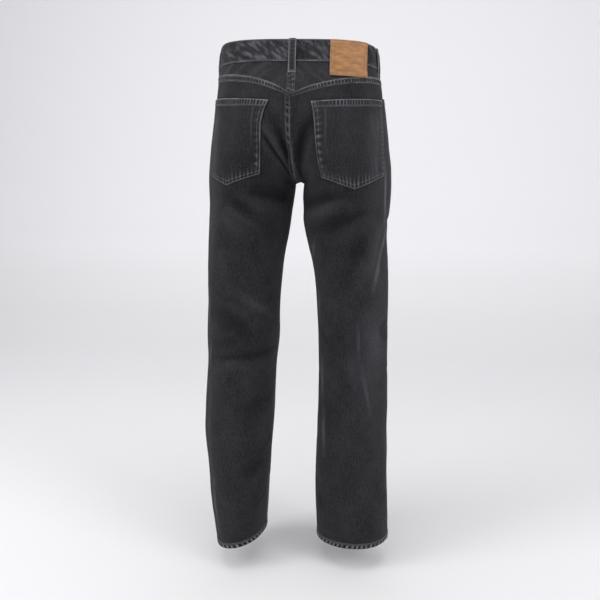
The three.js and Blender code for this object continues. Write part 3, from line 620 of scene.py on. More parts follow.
def on_piece(piece, path):
    """Points of a piece's face and the way out, along a path in the piece's own two distances."""
    u = np.interp(path[:, 0], piece["u"], np.arange(len(piece["u"])))
    v = np.interp(path[:, 1], piece["v"], np.arange(len(piece["v"])))
    j = np.clip(u.astype(int), 0, len(piece["u"]) - 2)
    i = np.clip(v.astype(int), 0, len(piece["v"]) - 2)
    fu, fv = (u - j)[:, None], (v - i)[:, None]

    def between(grid):
        return mix(mix(grid[i, j], grid[i, j + 1], fu), mix(grid[i + 1, j], grid[i + 1, j + 1], fu), fv)

    return between(piece["outer"]), between(piece["out"])


def sew(piece, *corners, pitch=STITCH["pitch"], length=STITCH["length"]):
    """A row of stitches through these places, in the piece's own two distances."""
    path = []
    for a, b in zip(corners, corners[1:]):
        count = max(2, int(math.hypot(b[0] - a[0], b[1] - a[1]) / PATH_STEP))
        path += [(mix(a[0], b[0], k / count), mix(a[1], b[1], k / count)) for k in range(count)]
    points, out = on_piece(piece, np.array(path + [corners[-1]]))
    run = np.concatenate([[0], np.cumsum(np.linalg.norm(np.diff(points, axis=0), axis=1))])
    starts = np.arange(0.5, run[-1] - length, pitch)
    if len(starts) == 0:
        return
    stations = starts[:, None] + length * STITCH_RINGS["share"]
    sample = lambda values: np.stack([np.interp(stations, run, values[:, k]) for k in range(3)], -1)
    middle, normal = sample(points), sample(out)
    tangent = middle[:, -1] - middle[:, 0]
    beside = np.cross(normal, tangent[:, None])
    beside /= np.linalg.norm(beside, axis=-1, keepdims=True)
    middle = middle + normal * (STITCH["lift"] * STITCH_RINGS["rise"])[None, :, None]
    ways = [beside, normal, -beside, -normal]
    ring = np.stack([middle + way * STITCH["radius"] for way in ways], 2)
    piece["thread"].append(ring.reshape(-1, 3))


def sew_down(piece, columns, top, bottom, **stitch):
    for column in columns:
        sew(piece, (column, top), (column, bottom), **stitch)


def sew_across(piece, rows, start, end, **stitch):
    for row in rows:
        sew(piece, (start, row), (end, row), **stitch)


def finish_sewing(name, piece):
    if not piece["thread"]:
        return []
    vertices = np.concatenate(piece["thread"])
    rings = len(STITCH_RINGS["share"])
    base = np.arange(0, len(vertices), rings * RING_CORNERS)
    faces = (base[:, None, None] + np.array(tube_faces(rings, RING_CORNERS))).reshape(-1, 4)
    made = make_mesh("stitches_" + name, vertices, faces.tolist(), [THREAD])
    return [made]


# Materials

# The darkest and the palest colour of each
COLOURS = {
    "washed_denim": ((0.0047, 0.0043, 0.0066, 1), (0.268, 0.265, 0.292, 1)),
    "denim_inside": ((0.03, 0.03, 0.032, 1), (0.24, 0.24, 0.24, 1)),
    "thread": ((0.03, 0.03, 0.033, 1), (0.17, 0.17, 0.175, 1)),
    "leather": ((0.25, 0.112, 0.036, 1), (0.44, 0.215, 0.080, 1)),
    "aged_metal": ((0.16, 0.14, 0.12, 1), (0.5, 0.46, 0.42, 1)),
    "pale_floor": ((0.82, 0.815, 0.83, 1), (0.93, 0.915, 0.935, 1)),
}
PRESSED_LEATHER = (0.17, 0.075, 0.03, 1)

# Patterns of the denim: scale, stretch, detail, roughness
SPECK = 420, (1, 1, 1), 3, 0.7
SLUB = 1, (900, 45, 1), 3, 0.6
CLOUD = 14, (1.6, 1, 1), 4, 0.6
MOTTLE = 165, (1.5, 0.8, 1), 3, 0.65
FRAY = 260, (1, 1, 1), 2
RIB_SCALE = 560.0
TICK_PALENESS, TICK_GAP = 0.62, 0.06


def new_material(name):
    """A material, and a function that adds a node to it. A keyword is a socket's name, or i and number."""
    material = bpy.data.materials.new(name)
    material.use_nodes = True
    tree = material.node_tree
    tree.nodes.clear()

    def add(kind, settings=None, **inputs):
        node = tree.nodes.new("ShaderNode" + kind)
        for key, value in (settings or {}).items():
            setattr(node, key, value)
        for key, value in inputs.items():
            numbered = key[0] == "i" and key[1:].isdigit()
            socket = node.inputs[int(key[1:]) if numbered else key.replace("_", " ")]
            if isinstance(value, bpy.types.NodeSocket):
                tree.links.new(value, socket)
            else:
                socket.default_value = value
        return node

    return material, add


def maths(add, operation, a, b=0.0, clamp=False):
    return add("Math", {"operation": operation, "use_clamp": clamp}, i0=a, i1=b).outputs[0]


def fabric_noise(add, coordinate, scale, stretch=(1, 1, 1), detail=2.0, rough=0.55):
    mapped = add("Mapping", None, Vector=coordinate, Scale=stretch).outputs[0]
    return add("TexNoise", None, Vector=mapped, Scale=scale, Detail=detail, Roughness=rough).outputs[0]


def blended(add, factor, low, high):
    return add("Mix", {"data_type": "RGBA"}, Factor=factor, i6=low, i7=high).outputs[2]


def bumped(add, height, strength, distance, **under):
    return add("Bump", None, Strength=strength, Distance=distance, Height=height, **under).outputs[0]


def ranged(add, value, **ends):
    return add("MapRange", None, Value=value, **ends).outputs[0]


def finish_material(add, colour, rough, **inputs):
    shader = add("BsdfPrincipled", None, Base_Color=colour, Roughness=rough, **inputs)
    add("OutputMaterial", None, Surface=shader.outputs[0])


def denim_material(name, grain_share, paleness):
    """Washed twill: dark warp that wears pale along edges and puckers, with slubs and a diagonal rib."""
    material, add = new_material(name)

    def read(attribute):
        return add("Attribute", {"attribute_name": attribute}).outputs["Fac"]

    def times(a, b):
        return maths(add, "MULTIPLY", a, b)

    def plus(a, b, clamp=False):
        return maths(add, "ADD", a, b, clamp)

    def varied(noise_value, share):
        return times(maths(add, "SUBTRACT", noise_value, 0.5), share * grain_share)

    place = add("UVMap", {"uv_map": "cloth"}).outputs[0]
    patterns = SPECK, SLUB, CLOUD, MOTTLE, FRAY
    speck, slub, cloud, mottle, frayed = (fabric_noise(add, place, *pattern) for pattern in patterns)
    diagonal = {"bands_direction": "DIAGONAL"}
    rib = add("TexWave", diagonal, Vector=place, Scale=RIB_SCALE, Distortion=0.4).outputs[0]

    phase = read("tick_phase")
    wave = maths(add, "SINE", times(phase, 2 * math.pi))
    pulse = add("MapRange", {"interpolation_type": "SMOOTHSTEP"}, Value=wave, i1=-0.3, i2=0.75).outputs[0]
    each = add("TexNoise", {"noise_dimensions": "1D"}, W=phase, Scale=1.3, Detail=1.0).outputs[0]
    each = ranged(add, each, i1=0.3, i2=0.7, i3=0.45, i4=1.3)
    above_gap = maths(add, "SUBTRACT", times(times(pulse, each), TICK_PALENESS), TICK_GAP)
    ticked = times(read("tick"), above_gap)
    # The colour shift read here holds wear, and on the panels also painted shade beside raised edges and in
    # creases and painted highlights on ridges
    frayed_shift = times(plus(read("wear"), ticked), plus(times(frayed, 1.1), 0.4))
    total = plus(plus(varied(speck, 2.6), varied(slub, 1.3)), plus(varied(cloud, 0.9), varied(rib, 0.12)))
    total = plus(plus(total, varied(mottle, 0.8)), plus(frayed_shift, paleness), clamp=True)

    rough = ranged(add, slub, i3=0.82, i4=0.98)
    bump = bumped(add, rib, 0.6, 0.00025)
    bump = bumped(add, slub, 0.7, 0.0004, Normal=bump)
    bump = bumped(add, speck, 0.6, 0.0006, Normal=bump)
    sheen = {"Specular_IOR_Level": 0.16, "Sheen_Weight": 0.05, "Sheen_Roughness": 0.6}
    finish_material(add, blended(add, total, *COLOURS[name]), rough, Normal=bump, **sheen)
    return material


def thread_material():
    material, add = new_material("thread")
    place = add("TexCoord").outputs["Object"]
    patchy = fabric_noise(add, place, 220, detail=2)
    colour = blended(add, patchy, *COLOURS["thread"])
    bump = bumped(add, fabric_noise(add, place, 2500, detail=1), 0.5, 0.0002)
    finish_material(add, colour, 0.75, Normal=bump, Sheen_Weight=0.2)
    return material


def leather_material():
    material, add = new_material("leather")
    place = add("UVMap", {"uv_map": "cloth"}).outputs[0]
    wear = add("Attribute", {"attribute_name": "wear"}).outputs["Fac"]
    mottle = fabric_noise(add, place, 70, (0.6, 1.6, 1), detail=5, rough=0.7)
    pores = add("TexVoronoi", None, Vector=place, Scale=900.0).outputs["Distance"]
    grain = fabric_noise(add, place, 500, detail=3)
    tone = maths(add, "ADD", maths(add, "MULTIPLY", mottle, 0.75), maths(add, "MULTIPLY", grain, 0.25))
    tone = ranged(add, tone, i1=0.4, i2=0.6)
    colour = blended(add, wear, blended(add, tone, *COLOURS["leather"]), PRESSED_LEATHER)
    bump = bumped(add, grain, 0.5, 0.0005, Normal=bumped(add, pores, 0.35, 0.0003))
    rough = ranged(add, mottle, i3=0.5, i4=0.72)
    finish_material(add, colour, rough, Normal=bump)
    return material


def metal_material():
    material, add = new_material("aged_metal")
    tarnish = fabric_noise(add, add("TexCoord").outputs["Object"], 900, detail=5, rough=0.65)
    colour = blended(add, tarnish, *COLOURS["aged_metal"])
    rough = ranged(add, tarnish, i3=0.28, i4=0.5)
    finish_material(add, colour, rough, Normal=bumped(add, tarnish, 0.25, 0.0002), Metallic=1.0)
    return material


DENIM = denim_material("washed_denim", grain_share=0.115, paleness=0.043)
DENIM_INSIDE = denim_material("denim_inside", grain_share=0.3, paleness=0.2)
THREAD = thread_material()
LEATHER = leather_material()
METAL = metal_material()


# Panels

ROW_STEP, COLUMN_STEP = 3.3, 3.1
# Painted shade: how much darker a line beside a raised edge is painted, and how far in millimetres it reaches
EDGE_SHADOW, EDGE_SHADOW_REACH = 0.05, 4.5
HEM_ROPE_PITCH, HEM_ROPE_LEAN, HEM_STITCH_PITCH = 10.5, 0.3, 7.5
MOUTH_END = BAND_BOTTOM + SCOOP["down"]
YOKE_LONG = 60.0
COIN_WIDE, COIN_LONG = 68.0, 46.0
POCKET_WIDE, POCKET_LONG = 150.0, 160.0
POCKET_PALENESS = {"left": -0.01, "right": 0.01}
POCKET_RAY_PITCH, POCKET_BLOB_PITCH = 7.7, 13.0
FLY_WIDE, FLY_LONG = 46.0, 120.0
PATCH_WIDE, PATCH_LONG = 78.0, PATCH["bottom"] - PATCH["top"]
LOOP_TOP = BAND_TOP - 0.5
LOOP_LIFT = table("down lift", [
    (LOOP_TOP, 0), (2, 0.6), (9, 1.8), (22, 1.8), (34, 1.6), (43, 0.6), (50, -0.9), (LOOP["below"], -0.9),
])

# How far rows of stitches are from the edge that they follow
HEM_ROW = HEM_TURN_UP - 1.6
YOKE_ROWS = (2.2, YOKE_FELL - 2.2)
SEAT_ROWS = (2.2, FELL - 2.4)
MOUTH_ROWS = (2.0, 8.2)
FRONT_ROWS = (2.2, 8.6)
POCKET_ROWS = (1.8, 8.4)
POCKET_HEM_ROWS = (1.8, POCKET_HEM - 1.8)
FLY_ROWS = (2.0, 8.4)


def yoke_seam(side, share):
    width = YOKE_POINT_WIDTH[side]
    least = math.exp(-1 / width)
    dip = (np.exp((share - 1) / width) - least) / (1 - least)
    return mix(YOKE_AT_SIDE, YOKE_AT_BACK, dip)


def hem_form(down, s, hem, seed):
    """The turned up hem: thicker, roped on the bias, paler on its ropes, its edge and its row of stitches."""
    d = hem - down
    inside = smooth((HEM_TURN_UP + 0.7 - d) / 1.4)
    rope = ripples(s, d, HEM_ROPE_PITCH, seed, lean=HEM_ROPE_LEAN, order=0.9)
    body = np.sin(math.pi * np.clip(d / (HEM_TURN_UP - 2.5), 0, 1)) ** 0.4
    height = inside * (0.8 + 0.9 * rope * body) - 0.8 * line_mask(d, 0, 0.9)
    height = height - 0.35 * line_mask(d, HEM_ROW, 1.5)
    wear = 0.14 * line_mask(d, 0.4, 1.6) + 0.02 * line_mask(d, HEM_ROW, 1.6)
    ropes = phase_along(s, d, HEM_ROPE_PITCH, seed, HEM_ROPE_LEAN), 1.15 * inside * body
    stitches = s / HEM_STITCH_PITCH, 0.6 * line_mask(d, HEM_ROW, 1.2)
    return height, wear, [ropes, stitches], inside


def unevenness(s, t, seed):
    """Shallow waves that all worn cloth has."""
    low = 0.8 * noise(s / 46, t / 60, seed) + 0.4 * noise(s / 21, t / 33, seed + 5)
    return low + 0.12 * noise(s / 8, t / 13, seed + 9)


def edge_drop(edge, depth, reach=1.2):
    """How far a cut edge is rounded down."""
    return depth * smooth((reach - edge) / reach)


def back_panel(side):
    seed, strength = (100, 1.0) if side == "left" else (200, 0.35)
    hem = HEM_DOWN[side]
    shares = offsets(ACROSS_UNIT, COLUMN_STEP, None, FELL) / ACROSS_UNIT
    rows = YOKE_AT_SIDE + offsets(hem - YOKE_AT_SIDE, ROW_STEP, YOKE_FELL, HEM_TURN_UP)
    share, row = np.meshgrid(shares, rows)
    ends = YOKE_AT_BACK + 80
    settling = np.clip((ends - row) / (ends - YOKE_AT_SIDE), 0, 1)
    down = row + (yoke_seam(side, share) - YOKE_AT_SIDE) * settling
    points, out, s, t = lay(side, -share, down)
    from_centre, from_top = (1 - share) * ACROSS_UNIT, row - YOKE_AT_SIDE

    h1, w1, t1 = seam_band("seat_" + side, from_centre, down, seed)
    h2, w2, t2 = seam_band("yoke_fell", from_top, s, seed + 10)
    h3, w3, t3 = seam_band("back_side", share * ACROSS_UNIT, t, seed + 20)
    h4, w4, t4, in_hem = hem_form(down, s, hem, seed + 30)
    shown = strength * mix(0.5, 1.0, smooth((CROTCH + 30 - down) / 60)) * smooth((from_top - 12) / 20)
    shown_at_seam = mix(0.12, 1.0, smooth((from_centre - 6) / 30))
    height = h1 + h2 + h3 + h4 + unevenness(s, t, seed + 40)
    wear = w1 * shown + w2 * shown_at_seam + w3 + w4 + wear_and_painted_light(side, -share, down)
    # Painted shade along the back pocket's outline, where it stands off the panel
    wear = wear - EDGE_SHADOW * near_line(-share, down, pocket_outline(side), EDGE_SHADOW_REACH)
    ticks = [faded(t1, shown), faded(t2, shown_at_seam), t3, *t4]
    piece = cloth_piece(
        "back_" + side, (shares * ACROSS_UNIT, rows), points, out, height, wear, ticks,
        inner_extra=0.7 * in_hem, rests=["waistband"],
    )
    sew_across(piece, [YOKE_AT_SIDE + inset for inset in YOKE_ROWS], 2, ACROSS_UNIT - 1)
    if side == "left":
        sew_down(piece, [ACROSS_UNIT - inset for inset in SEAT_ROWS], YOKE_AT_SIDE + 9, CROTCH + 6)
    sew_across(piece, [hem - HEM_ROW], 2, ACROSS_UNIT - 2)


def yoke(side):
    seed = 300 if side == "left" else 400
    share, level, places = unit_grid(ACROSS_UNIT, YOKE_LONG, COLUMN_STEP, 3.0, (None, 8.0))
    down = mix(BAND_BOTTOM, yoke_seam(side, share), level)
    points, out, s, t = lay(side, -share, down)
    from_centre, to_seam = (1 - share) * ACROSS_UNIT, t[-1] - t
    h1, w1, t1 = seam_band("yoke_centre", from_centre, down, seed)
    slant = noise((s + 1.2 * t) / 11, (s - t) / 60, seed + 30)
    height = h1 + edge_drop(to_seam, 0.5, 2.5) + 0.7 * unevenness(s, t, seed + 40) + 0.35 * slant
    w2 = 0.5 * line_mask(to_seam, 0.4, 1.4) * mix(0.1, 1.0, smooth((from_centre - 4) / 30))
    # Painted shade just under the waistband's edge, and on the right round the leather patch
    w2 = w2 + 0.012 + 0.06 * np.clip(slant, 0, 1) - EDGE_SHADOW * smooth(1 - t / 4)
    if side == "right":
        w2 = w2 - EDGE_SHADOW * near_line(-share, down, patch_outline(), EDGE_SHADOW_REACH)
    piece = cloth_piece("yoke_" + side, places, points, out, height, w1 + w2, [t1], rests=["waistband"])
    sew_down(piece, [ACROSS_UNIT - 4.2], 14, YOKE_LONG - 3)


def front_grid(side):
    """The front panel's across and down: its first column is the pocket mouth, and then the side seam."""
    arc = np.linspace(0, math.pi / 2, 46)
    shares = offsets(ACROSS_UNIT, COLUMN_STEP, 9.0, 9.0) / ACROSS_UNIT
    below = MOUTH_END + offsets(HEM_DOWN[side] - MOUTH_END, ROW_STEP, None, HEM_TURN_UP)[1:]
    at_mouth = BAND_BOTTOM + SCOOP["down"] * np.sin(arc)
    even = BAND_BOTTOM + SCOOP["down"] * arc / arc[-1]
    top = mix(at_mouth[:, None], even[:, None], smooth(shares / 0.25))
    down = np.concatenate([top, np.repeat(below[:, None], len(shares), 1)])
    start = np.concatenate([SCOOP["across"] * np.cos(arc), np.zeros(len(below))])[:, None]
    return mix(start, 1, shares), down, np.repeat(shares[None, :], len(down), 0), len(arc)


def front_panel(side):
    seed = 500 if side == "left" else 600
    hem = HEM_DOWN[side]
    across, down, share, mouth_rows = front_grid(side)
    points, out, s, t = lay(side, across, down)
    in_mouth = np.zeros_like(share)
    in_mouth[:mouth_rows] = 1
    from_edge, from_centre = share * ACROSS_UNIT, (1 - share) * ACROSS_UNIT
    h1, w1, t1 = seam_band("mouth", from_edge, np.repeat(t[:, :1], share.shape[1], 1), seed)
    h2, w2, t2 = seam_band("front_side", from_edge, t, seed + 5)
    h3, w3, t3 = seam_band("front_centre", from_centre, t, seed + 10)
    h4, w4, t4, in_hem = hem_form(down, s, hem, seed + 30)
    height = mix(h2, h1, in_mouth) + h3 + h4 + unevenness(s, t, seed + 40)
    # Painted shade just under the waistband's edge
    band_shadow = EDGE_SHADOW * smooth(1 - (down - BAND_BOTTOM) / 4)
    wear = mix(w2, w1, in_mouth) + w3 - band_shadow + w4 + wear_and_painted_light(side, across, down)
    ticks = [faded(t1, in_mouth), faded(t2, 1 - in_mouth), t3, *t4]
    numbers = np.arange(len(down))
    piece = cloth_piece(
        "front_" + side, (share[0] * ACROSS_UNIT, numbers), points, out, height, wear, ticks,
        inner_extra=0.7 * in_hem, rests=["waistband"],
    )
    wanted = [hem - HEM_ROW, CROTCH + 4, MOUTH_END + 110]
    hem_row, crotch_row, hip_row = np.interp(wanted, down[:, -1], numbers)
    centre_rows = [ACROSS_UNIT - inset for inset in FRONT_ROWS]
    sew_down(piece, MOUTH_ROWS, 0.5, mouth_rows - 0.5)
    sew_across(piece, [hem_row], 2, ACROSS_UNIT - 2)
    sew_down(piece, MOUTH_ROWS[:1], mouth_rows, hip_row)
    sew_down(piece, centre_rows, crotch_row, hem_row - 1)
    if side == "left":
        sew_down(piece, centre_rows, 2 * mouth_rows, crotch_row)


def facing_sag(across, down):
    return mix(0.9, 3.1, smooth(across / 0.1) * smooth((down - BAND_BOTTOM) / 14))


def pocket_facing(side):
    seed = 700 if side == "left" else 750
    downs = BAND_BOTTOM + offsets(SCOOP["down"] + 16, 3.0)
    across, down = np.meshgrid(np.linspace(0, SCOOP["across"] + 0.06, 40), downs)
    points, out, s, t = lay(side, across, down)
    height = -facing_sag(across, down) + 0.2 * unevenness(s, t, seed)
    wear = 0.25 * np.clip(noise(across * 30, down / 12, seed), 0, 1)
    cloth_piece(
        "pocket_facing_" + side, (across[0], downs), points, out, height, wear,
        thick=1.2, base=-CLOTH - CLEARANCE, rests=["waistband"],
    )


def coin_pocket():
    a, b, places = unit_grid(COIN_WIDE, COIN_LONG, 3.0, 3.0, row_bands=(SEAMS["coin_hem"][0],))
    across = mix(COIN_POCKET["from"], COIN_POCKET["to"], a)
    down = mix(COIN_POCKET["top"], COIN_POCKET["bottom"], b)
    points, out, s, _ = lay("right", across, down)
    height, wear, ticks = seam_band("coin_hem", b * COIN_LONG, s, 801)
    height = height - facing_sag(across, down) + CLEARANCE - 0.2
    wear = wear + 0.8 * line_mask(np.minimum(a, 1 - a) * COIN_WIDE, 0.5, 1.5)
    piece = cloth_piece(
        "coin_pocket", places, points, out, height, wear, [ticks],
        thick=1.0, base=-CLOTH + 1.0, rests=["pocket_facing_right"],
    )
    sew_across(piece, (2, 8), 1, COIN_WIDE - 1)
    sew_down(piece, (2, COIN_WIDE - 2), 9, COIN_LONG - 1)


def back_pocket(side):
    seed = 900 if side == "left" else 950
    a, b, places = unit_grid(POCKET_WIDE, POCKET_LONG, 2.6, 2.6, (9.0, 9.0), (POCKET_HEM, 9.0))
    corner = {key: np.array(value) for key, value in POCKETS[side].items()}
    top = mix(corner["top_inner"], corner["top_outer"], a[..., None])
    inner_half = mix(corner["bottom_inner"], corner["tip"], np.clip(2 * a, 0, 1)[..., None])
    outer_half = mix(corner["tip"], corner["bottom_outer"], np.clip(2 * a - 1, 0, 1)[..., None])
    bottom = np.where((a <= 0.5)[..., None], inner_half, outer_half)
    place = mix(top, bottom, b[..., None])
    bowed = place[..., 0] + corner["bow"] * np.sin(math.pi * b ** 0.8) * (1 - a) ** 3
    points, out, s, t = lay(side, bowed, place[..., 1])
    from_inner, from_outer = a * POCKET_WIDE, (1 - a) * POCKET_WIDE
    from_top, from_bottom = b * POCKET_LONG, (1 - b) * POCKET_LONG
    edge = np.minimum.reduce([from_inner, from_outer, from_top, from_bottom])

    h1, w1, t1 = seam_band("pocket_inner", from_inner, t, seed)
    h2, w2, t2 = seam_band("pocket_outer", from_outer, t, seed + 3)
    h3, w3, t3 = seam_band("pocket_bottom", from_bottom, s, seed + 6)
    h4, w4, t4 = seam_band("pocket_hem", from_top, s, seed + 9)
    in_rays = smooth((26 - from_bottom) / 20) * smooth(from_bottom / 5)
    rays = np.clip(ripples(s, from_bottom, POCKET_RAY_PITCH, seed + 12, lean=0, order=0.7), 0, 1) * in_rays
    pale_rays = 0.42 * in_rays * (0.5 + 0.9 * noise(s / 24, s * 0, seed + 13))
    t5 = phase_along(s, from_bottom, POCKET_RAY_PITCH, seed + 12, 0), pale_rays
    in_blobs = np.exp(-((from_inner - 8.5) / 5.0) ** 2)
    in_blobs = in_blobs * smooth((from_top - 14) / 8) * smooth((from_bottom - 14) / 8)
    blobs = ripples(t, from_inner, POCKET_BLOB_PITCH, seed + 14, lean=0, order=0.45)
    blobs = np.clip(blobs, 0, 1) * in_blobs
    pale_blobs = 0.5 * in_blobs * (0.75 + 0.5 * noise(t / 30, t * 0, seed + 16))
    t6 = phase_along(t, from_inner, POCKET_BLOB_PITCH, seed + 14, 0), pale_blobs
    crown = 1.3 * np.sin(math.pi * a) ** 0.7 * np.sin(math.pi * np.clip(b, 0, 1)) ** 0.7
    ghost = 0.12 * line_mask(from_inner, 23, 2.5)
    ghost = ghost * smooth((110 - from_top) / 60) * smooth((from_top - 14) / 4)
    # Painted highlight toward the pocket's outer side, where the side light falls
    side_highlight = 0.09 * np.exp(-((from_outer - 26) / 16) ** 2) * smooth((from_top - 16) / 40)
    side_highlight = side_highlight * (0.7 + 0.5 * noise(s / 5, t / 45, seed + 15))
    height = h1 + h2 + h3 + h4 + 0.5 * rays + 0.6 * blobs + crown - edge_drop(edge, 1.1)
    wear = np.maximum.reduce([w1, w2, w3, w4]) + ghost + side_highlight + POCKET_PALENESS[side]
    piece = cloth_piece(
        "back_pocket_" + side, places, points, out, height, wear, [t1, t2, t3, t4, t5, t6],
        thick=1.3, base=1.5, held="stretched", rests=["back_" + side],
    )
    for inset in POCKET_ROWS:
        low, wide = POCKET_LONG - inset, POCKET_WIDE - inset
        sew(piece, (inset, 2), (inset, low), (POCKET_WIDE / 2, low), (wide, low), (wide, 2))
    sew_across(piece, POCKET_HEM_ROWS, 1, POCKET_WIDE - 1)
    for start in (1, POCKET_WIDE - 10):
        sew_across(piece, [2 + 0.8 * turn for turn in range(4)], start, start + 9, **TACK)


def fly():
    a, b, places = unit_grid(FLY_WIDE, FLY_LONG, 2.8, 3.0, (None, 9.0))
    down = mix(BAND_BOTTOM + 0.5, FLY["down"] - 0.3, b)
    curve = np.clip((down - (FLY["down"] - FLY["corner"])) / FLY["corner"], 0, 1)
    wide = FLY["across"] * np.sqrt(1 - 0.985 * curve ** 2)
    points, out, _, t = lay("left", 1 - wide * a, down)
    from_edge = (1 - a) * FLY_WIDE
    h1, w1, t1 = seam_band("fly_edge", from_edge, t, 1001)
    h2, w2, t2 = seam_band("fly_centre", a * FLY_WIDE, t, 1003)
    height = h1 + h2 - edge_drop(from_edge, 0.8)
    piece = cloth_piece(
        "fly", places, points, out, height, w1 + w2, [t1, t2],
        thick=1.1, base=1.3, held="stretched", rests=["front_left"],
    )
    sew_down(piece, [FLY_WIDE - inset for inset in FLY_ROWS], 2, FLY_LONG - 2)
    sew_down(piece, [2.5], 2, FLY_LONG - 8)


def waistband():
    """Round from the right front, by the back, to the left front, whose end laps over the start."""
    step = 3.0 / ACROSS_UNIT

    def run(side, a, b):
        count = max(2, int(abs(b - a) / step))
        return [(side, x) for x in np.linspace(a, b, count, endpoint=False)]

    places = run("right", BAND_SLIT_ACROSS, -1.0) + run("left", -1.0, 1.0)
    places += run("right", 1.0, BAND_SLIT_ACROSS) + [("right", BAND_SLIT_ACROSS)]
    levels = BAND_TOP + offsets(BAND_BOTTOM - BAND_TOP, 2.6)
    points, out = np.zeros((2, len(levels), len(places), 3))
    for side in SIDES:
        chosen = [k for k, place in enumerate(places) if place[0] == side]
        across, down = np.meshgrid([places[k][1] for k in chosen], levels)
        points[:, chosen], out[:, chosen] = place_on(side, across, down)
    s = arcs(points, 1)
    length = s[0, -1]
    d = np.repeat(levels[:, None] - BAND_TOP, len(places), 1)
    to_bottom = BAND_BOTTOM - BAND_TOP - d
    edge = np.minimum(d, to_bottom)
    laps = 0.7 * smooth((s - (s[:, -1:] - 22)) / 14) - 0.7 * smooth((22 - s) / 14)
    h1, w1, t1 = seam_band("band_bottom", to_bottom, s, 1101)
    h2, w2, t2 = seam_band("band_top", d, s, 1104)
    slant = 0.6 * noise((s + 1.5 * d) / 8, (s - 0.6 * d) / 26, 1107)
    slant = slant + 0.65 * noise((s + 0.6 * d) / 4.2, d / 9, 1109)
    height = BAND_PROUD + laps + h1 + h2 - edge_drop(edge, 0.8) + 0.9 * slant * smooth(edge / 8)
    wear = w1 + w2 + 0.42 * np.clip(slant, 0, 1) * smooth(edge / 6) + 0.005
    # Painted shade on the band beside the edges of the belt loops and the leather patch
    shadow_edges = [(*loop, LOOP["width"] / 2) for loop in LOOPS.values()]
    shadow_edges += [("right", PATCH["from"], 0.0), ("right", PATCH["to"], 0.0)]
    for edge_side, edge_across, beside in shadow_edges:
        at = np.argmin([abs(x - edge_across) + 9 * (side != edge_side) for side, x in places])
        wear = wear - EDGE_SHADOW * smooth(1 - np.abs(np.abs(s - s[0, at]) - beside) / 3.5)
    piece = cloth_piece(
        "waistband", (s[0], levels), points, out, height, wear, [t1, t2],
        thick=CLOTH + BAND_PROUD + 0.5, held="stretched",
    )
    sew_across(piece, (BAND_TOP + 2.4, BAND_BOTTOM - 2.4), 2, length - 2)
    sew_down(piece, [length - 2.4], 3, BAND_BOTTOM - 3)


def belt_loop(name, side, across, seed):
    """A strip sewn over the band's top and under it, and standing off between."""
    near, wide = 0.01, LOOP["width"]
    reach = place_on(side, across + near, BAND_BOTTOM)[0] - place_on(side, across - near, BAND_BOTTOM)[0]
    half = wide / 2 / (np.linalg.norm(reach) / (2 * near))
    downs = LOOP_TOP + offsets(LOOP["below"] - LOOP_TOP, 2.2)
    widths = offsets(wide, 1.5) / wide
    a, down = np.meshgrid(widths, downs)
    points, out, _, t = lay(side, across + half * (2 * a - 1), down)
    from_edge = np.minimum(a, 1 - a) * wide
    wave = ripples(t, from_edge, 7.5, seed)
    crown = 0.35 * smooth(from_edge / 4) - 0.35 * line_mask(from_edge, 3.0, 1.4)
    height = along(LOOP_LIFT, "lift", down) + crown + 0.18 * wave - edge_drop(from_edge, 0.7, 1.0)
    wear = 0.75 * line_mask(from_edge, 0.5, 1.5) + 0.1 * np.clip(wave, 0, 1) * smooth(from_edge / 3)
    wear = wear + 0.8 * line_mask(LOOP["below"] - down, 0.4, 1.6) + 0.4 * line_mask(down - LOOP_TOP, 0.3, 1.5)
    piece = cloth_piece(
        name, (widths * wide, downs), points, out, height, wear,
        thick=1.4, base=BAND_PROUD + CLEARANCE + LOOP["thick"] - 0.2, held="stretched", rests=["waistband"],
    )
    sew_down(piece, (3.0, wide - 3.0), 3, LOOP["below"] - 3)
    for turn in range(5):
        levels = [level + 0.7 * turn for level in (LOOP_TOP + 1.5, LOOP["below"] - 4.5)]
        sew_across(piece, levels, 1, wide - 1, **TACK)


def leather_patch():
    bands = 4.5, 4.5
    a, b, places = unit_grid(PATCH_WIDE, PATCH_LONG, 1.6, 1.6, bands, bands)
    across, down = mix(PATCH["from"], PATCH["to"], a), mix(PATCH["top"], PATCH["bottom"], b)
    points, out, s, t = lay("right", across, down)
    edge = np.minimum(np.minimum(a, 1 - a) * PATCH_WIDE, np.minimum(b, 1 - b) * PATCH_LONG)
    border = line_mask(edge, 7.0, 0.9) + line_mask(edge, 9.0, 0.7)
    curl = 2.2 * smooth((a - 0.72) / 0.28) * smooth((b - 0.72) / 0.28)
    wave = 0.5 * noise(s / 26, t / 20, 1201) + 0.12 * noise(s / 6, t / 6, 1203)
    height = wave + curl - 0.35 * border - edge_drop(edge, 0.5, 0.9)
    wear = 0.5 * border + 0.4 * line_mask(edge, 0, 1.6)
    base = BAND_PROUD + CLEARANCE + PATCH["thick"]
    outer = points + out * (base + height)[..., None]
    inner = points + out * (base + 0.7 * curl + 0.6 * wave - PATCH["thick"])[..., None]
    made = sheet_mesh("leather_label_bare", outer, inner, out, {"wear": wear}, [LEATHER, LEATHER])
    rests = ["waistband", "yoke_right"]
    piece = keep_piece("leather_patch", made, places, points, outer, out, "stretched", rests)
    inset = 2.6
    right, low = PATCH_WIDE - inset, PATCH_LONG - inset
    corners = [(inset, inset), (right, inset), (right, low), (inset, low), (inset, inset)]
    sew(piece, *corners, pitch=3.8, length=2.8)


# Metal pieces, as turned outlines: shares of the piece's radius and height

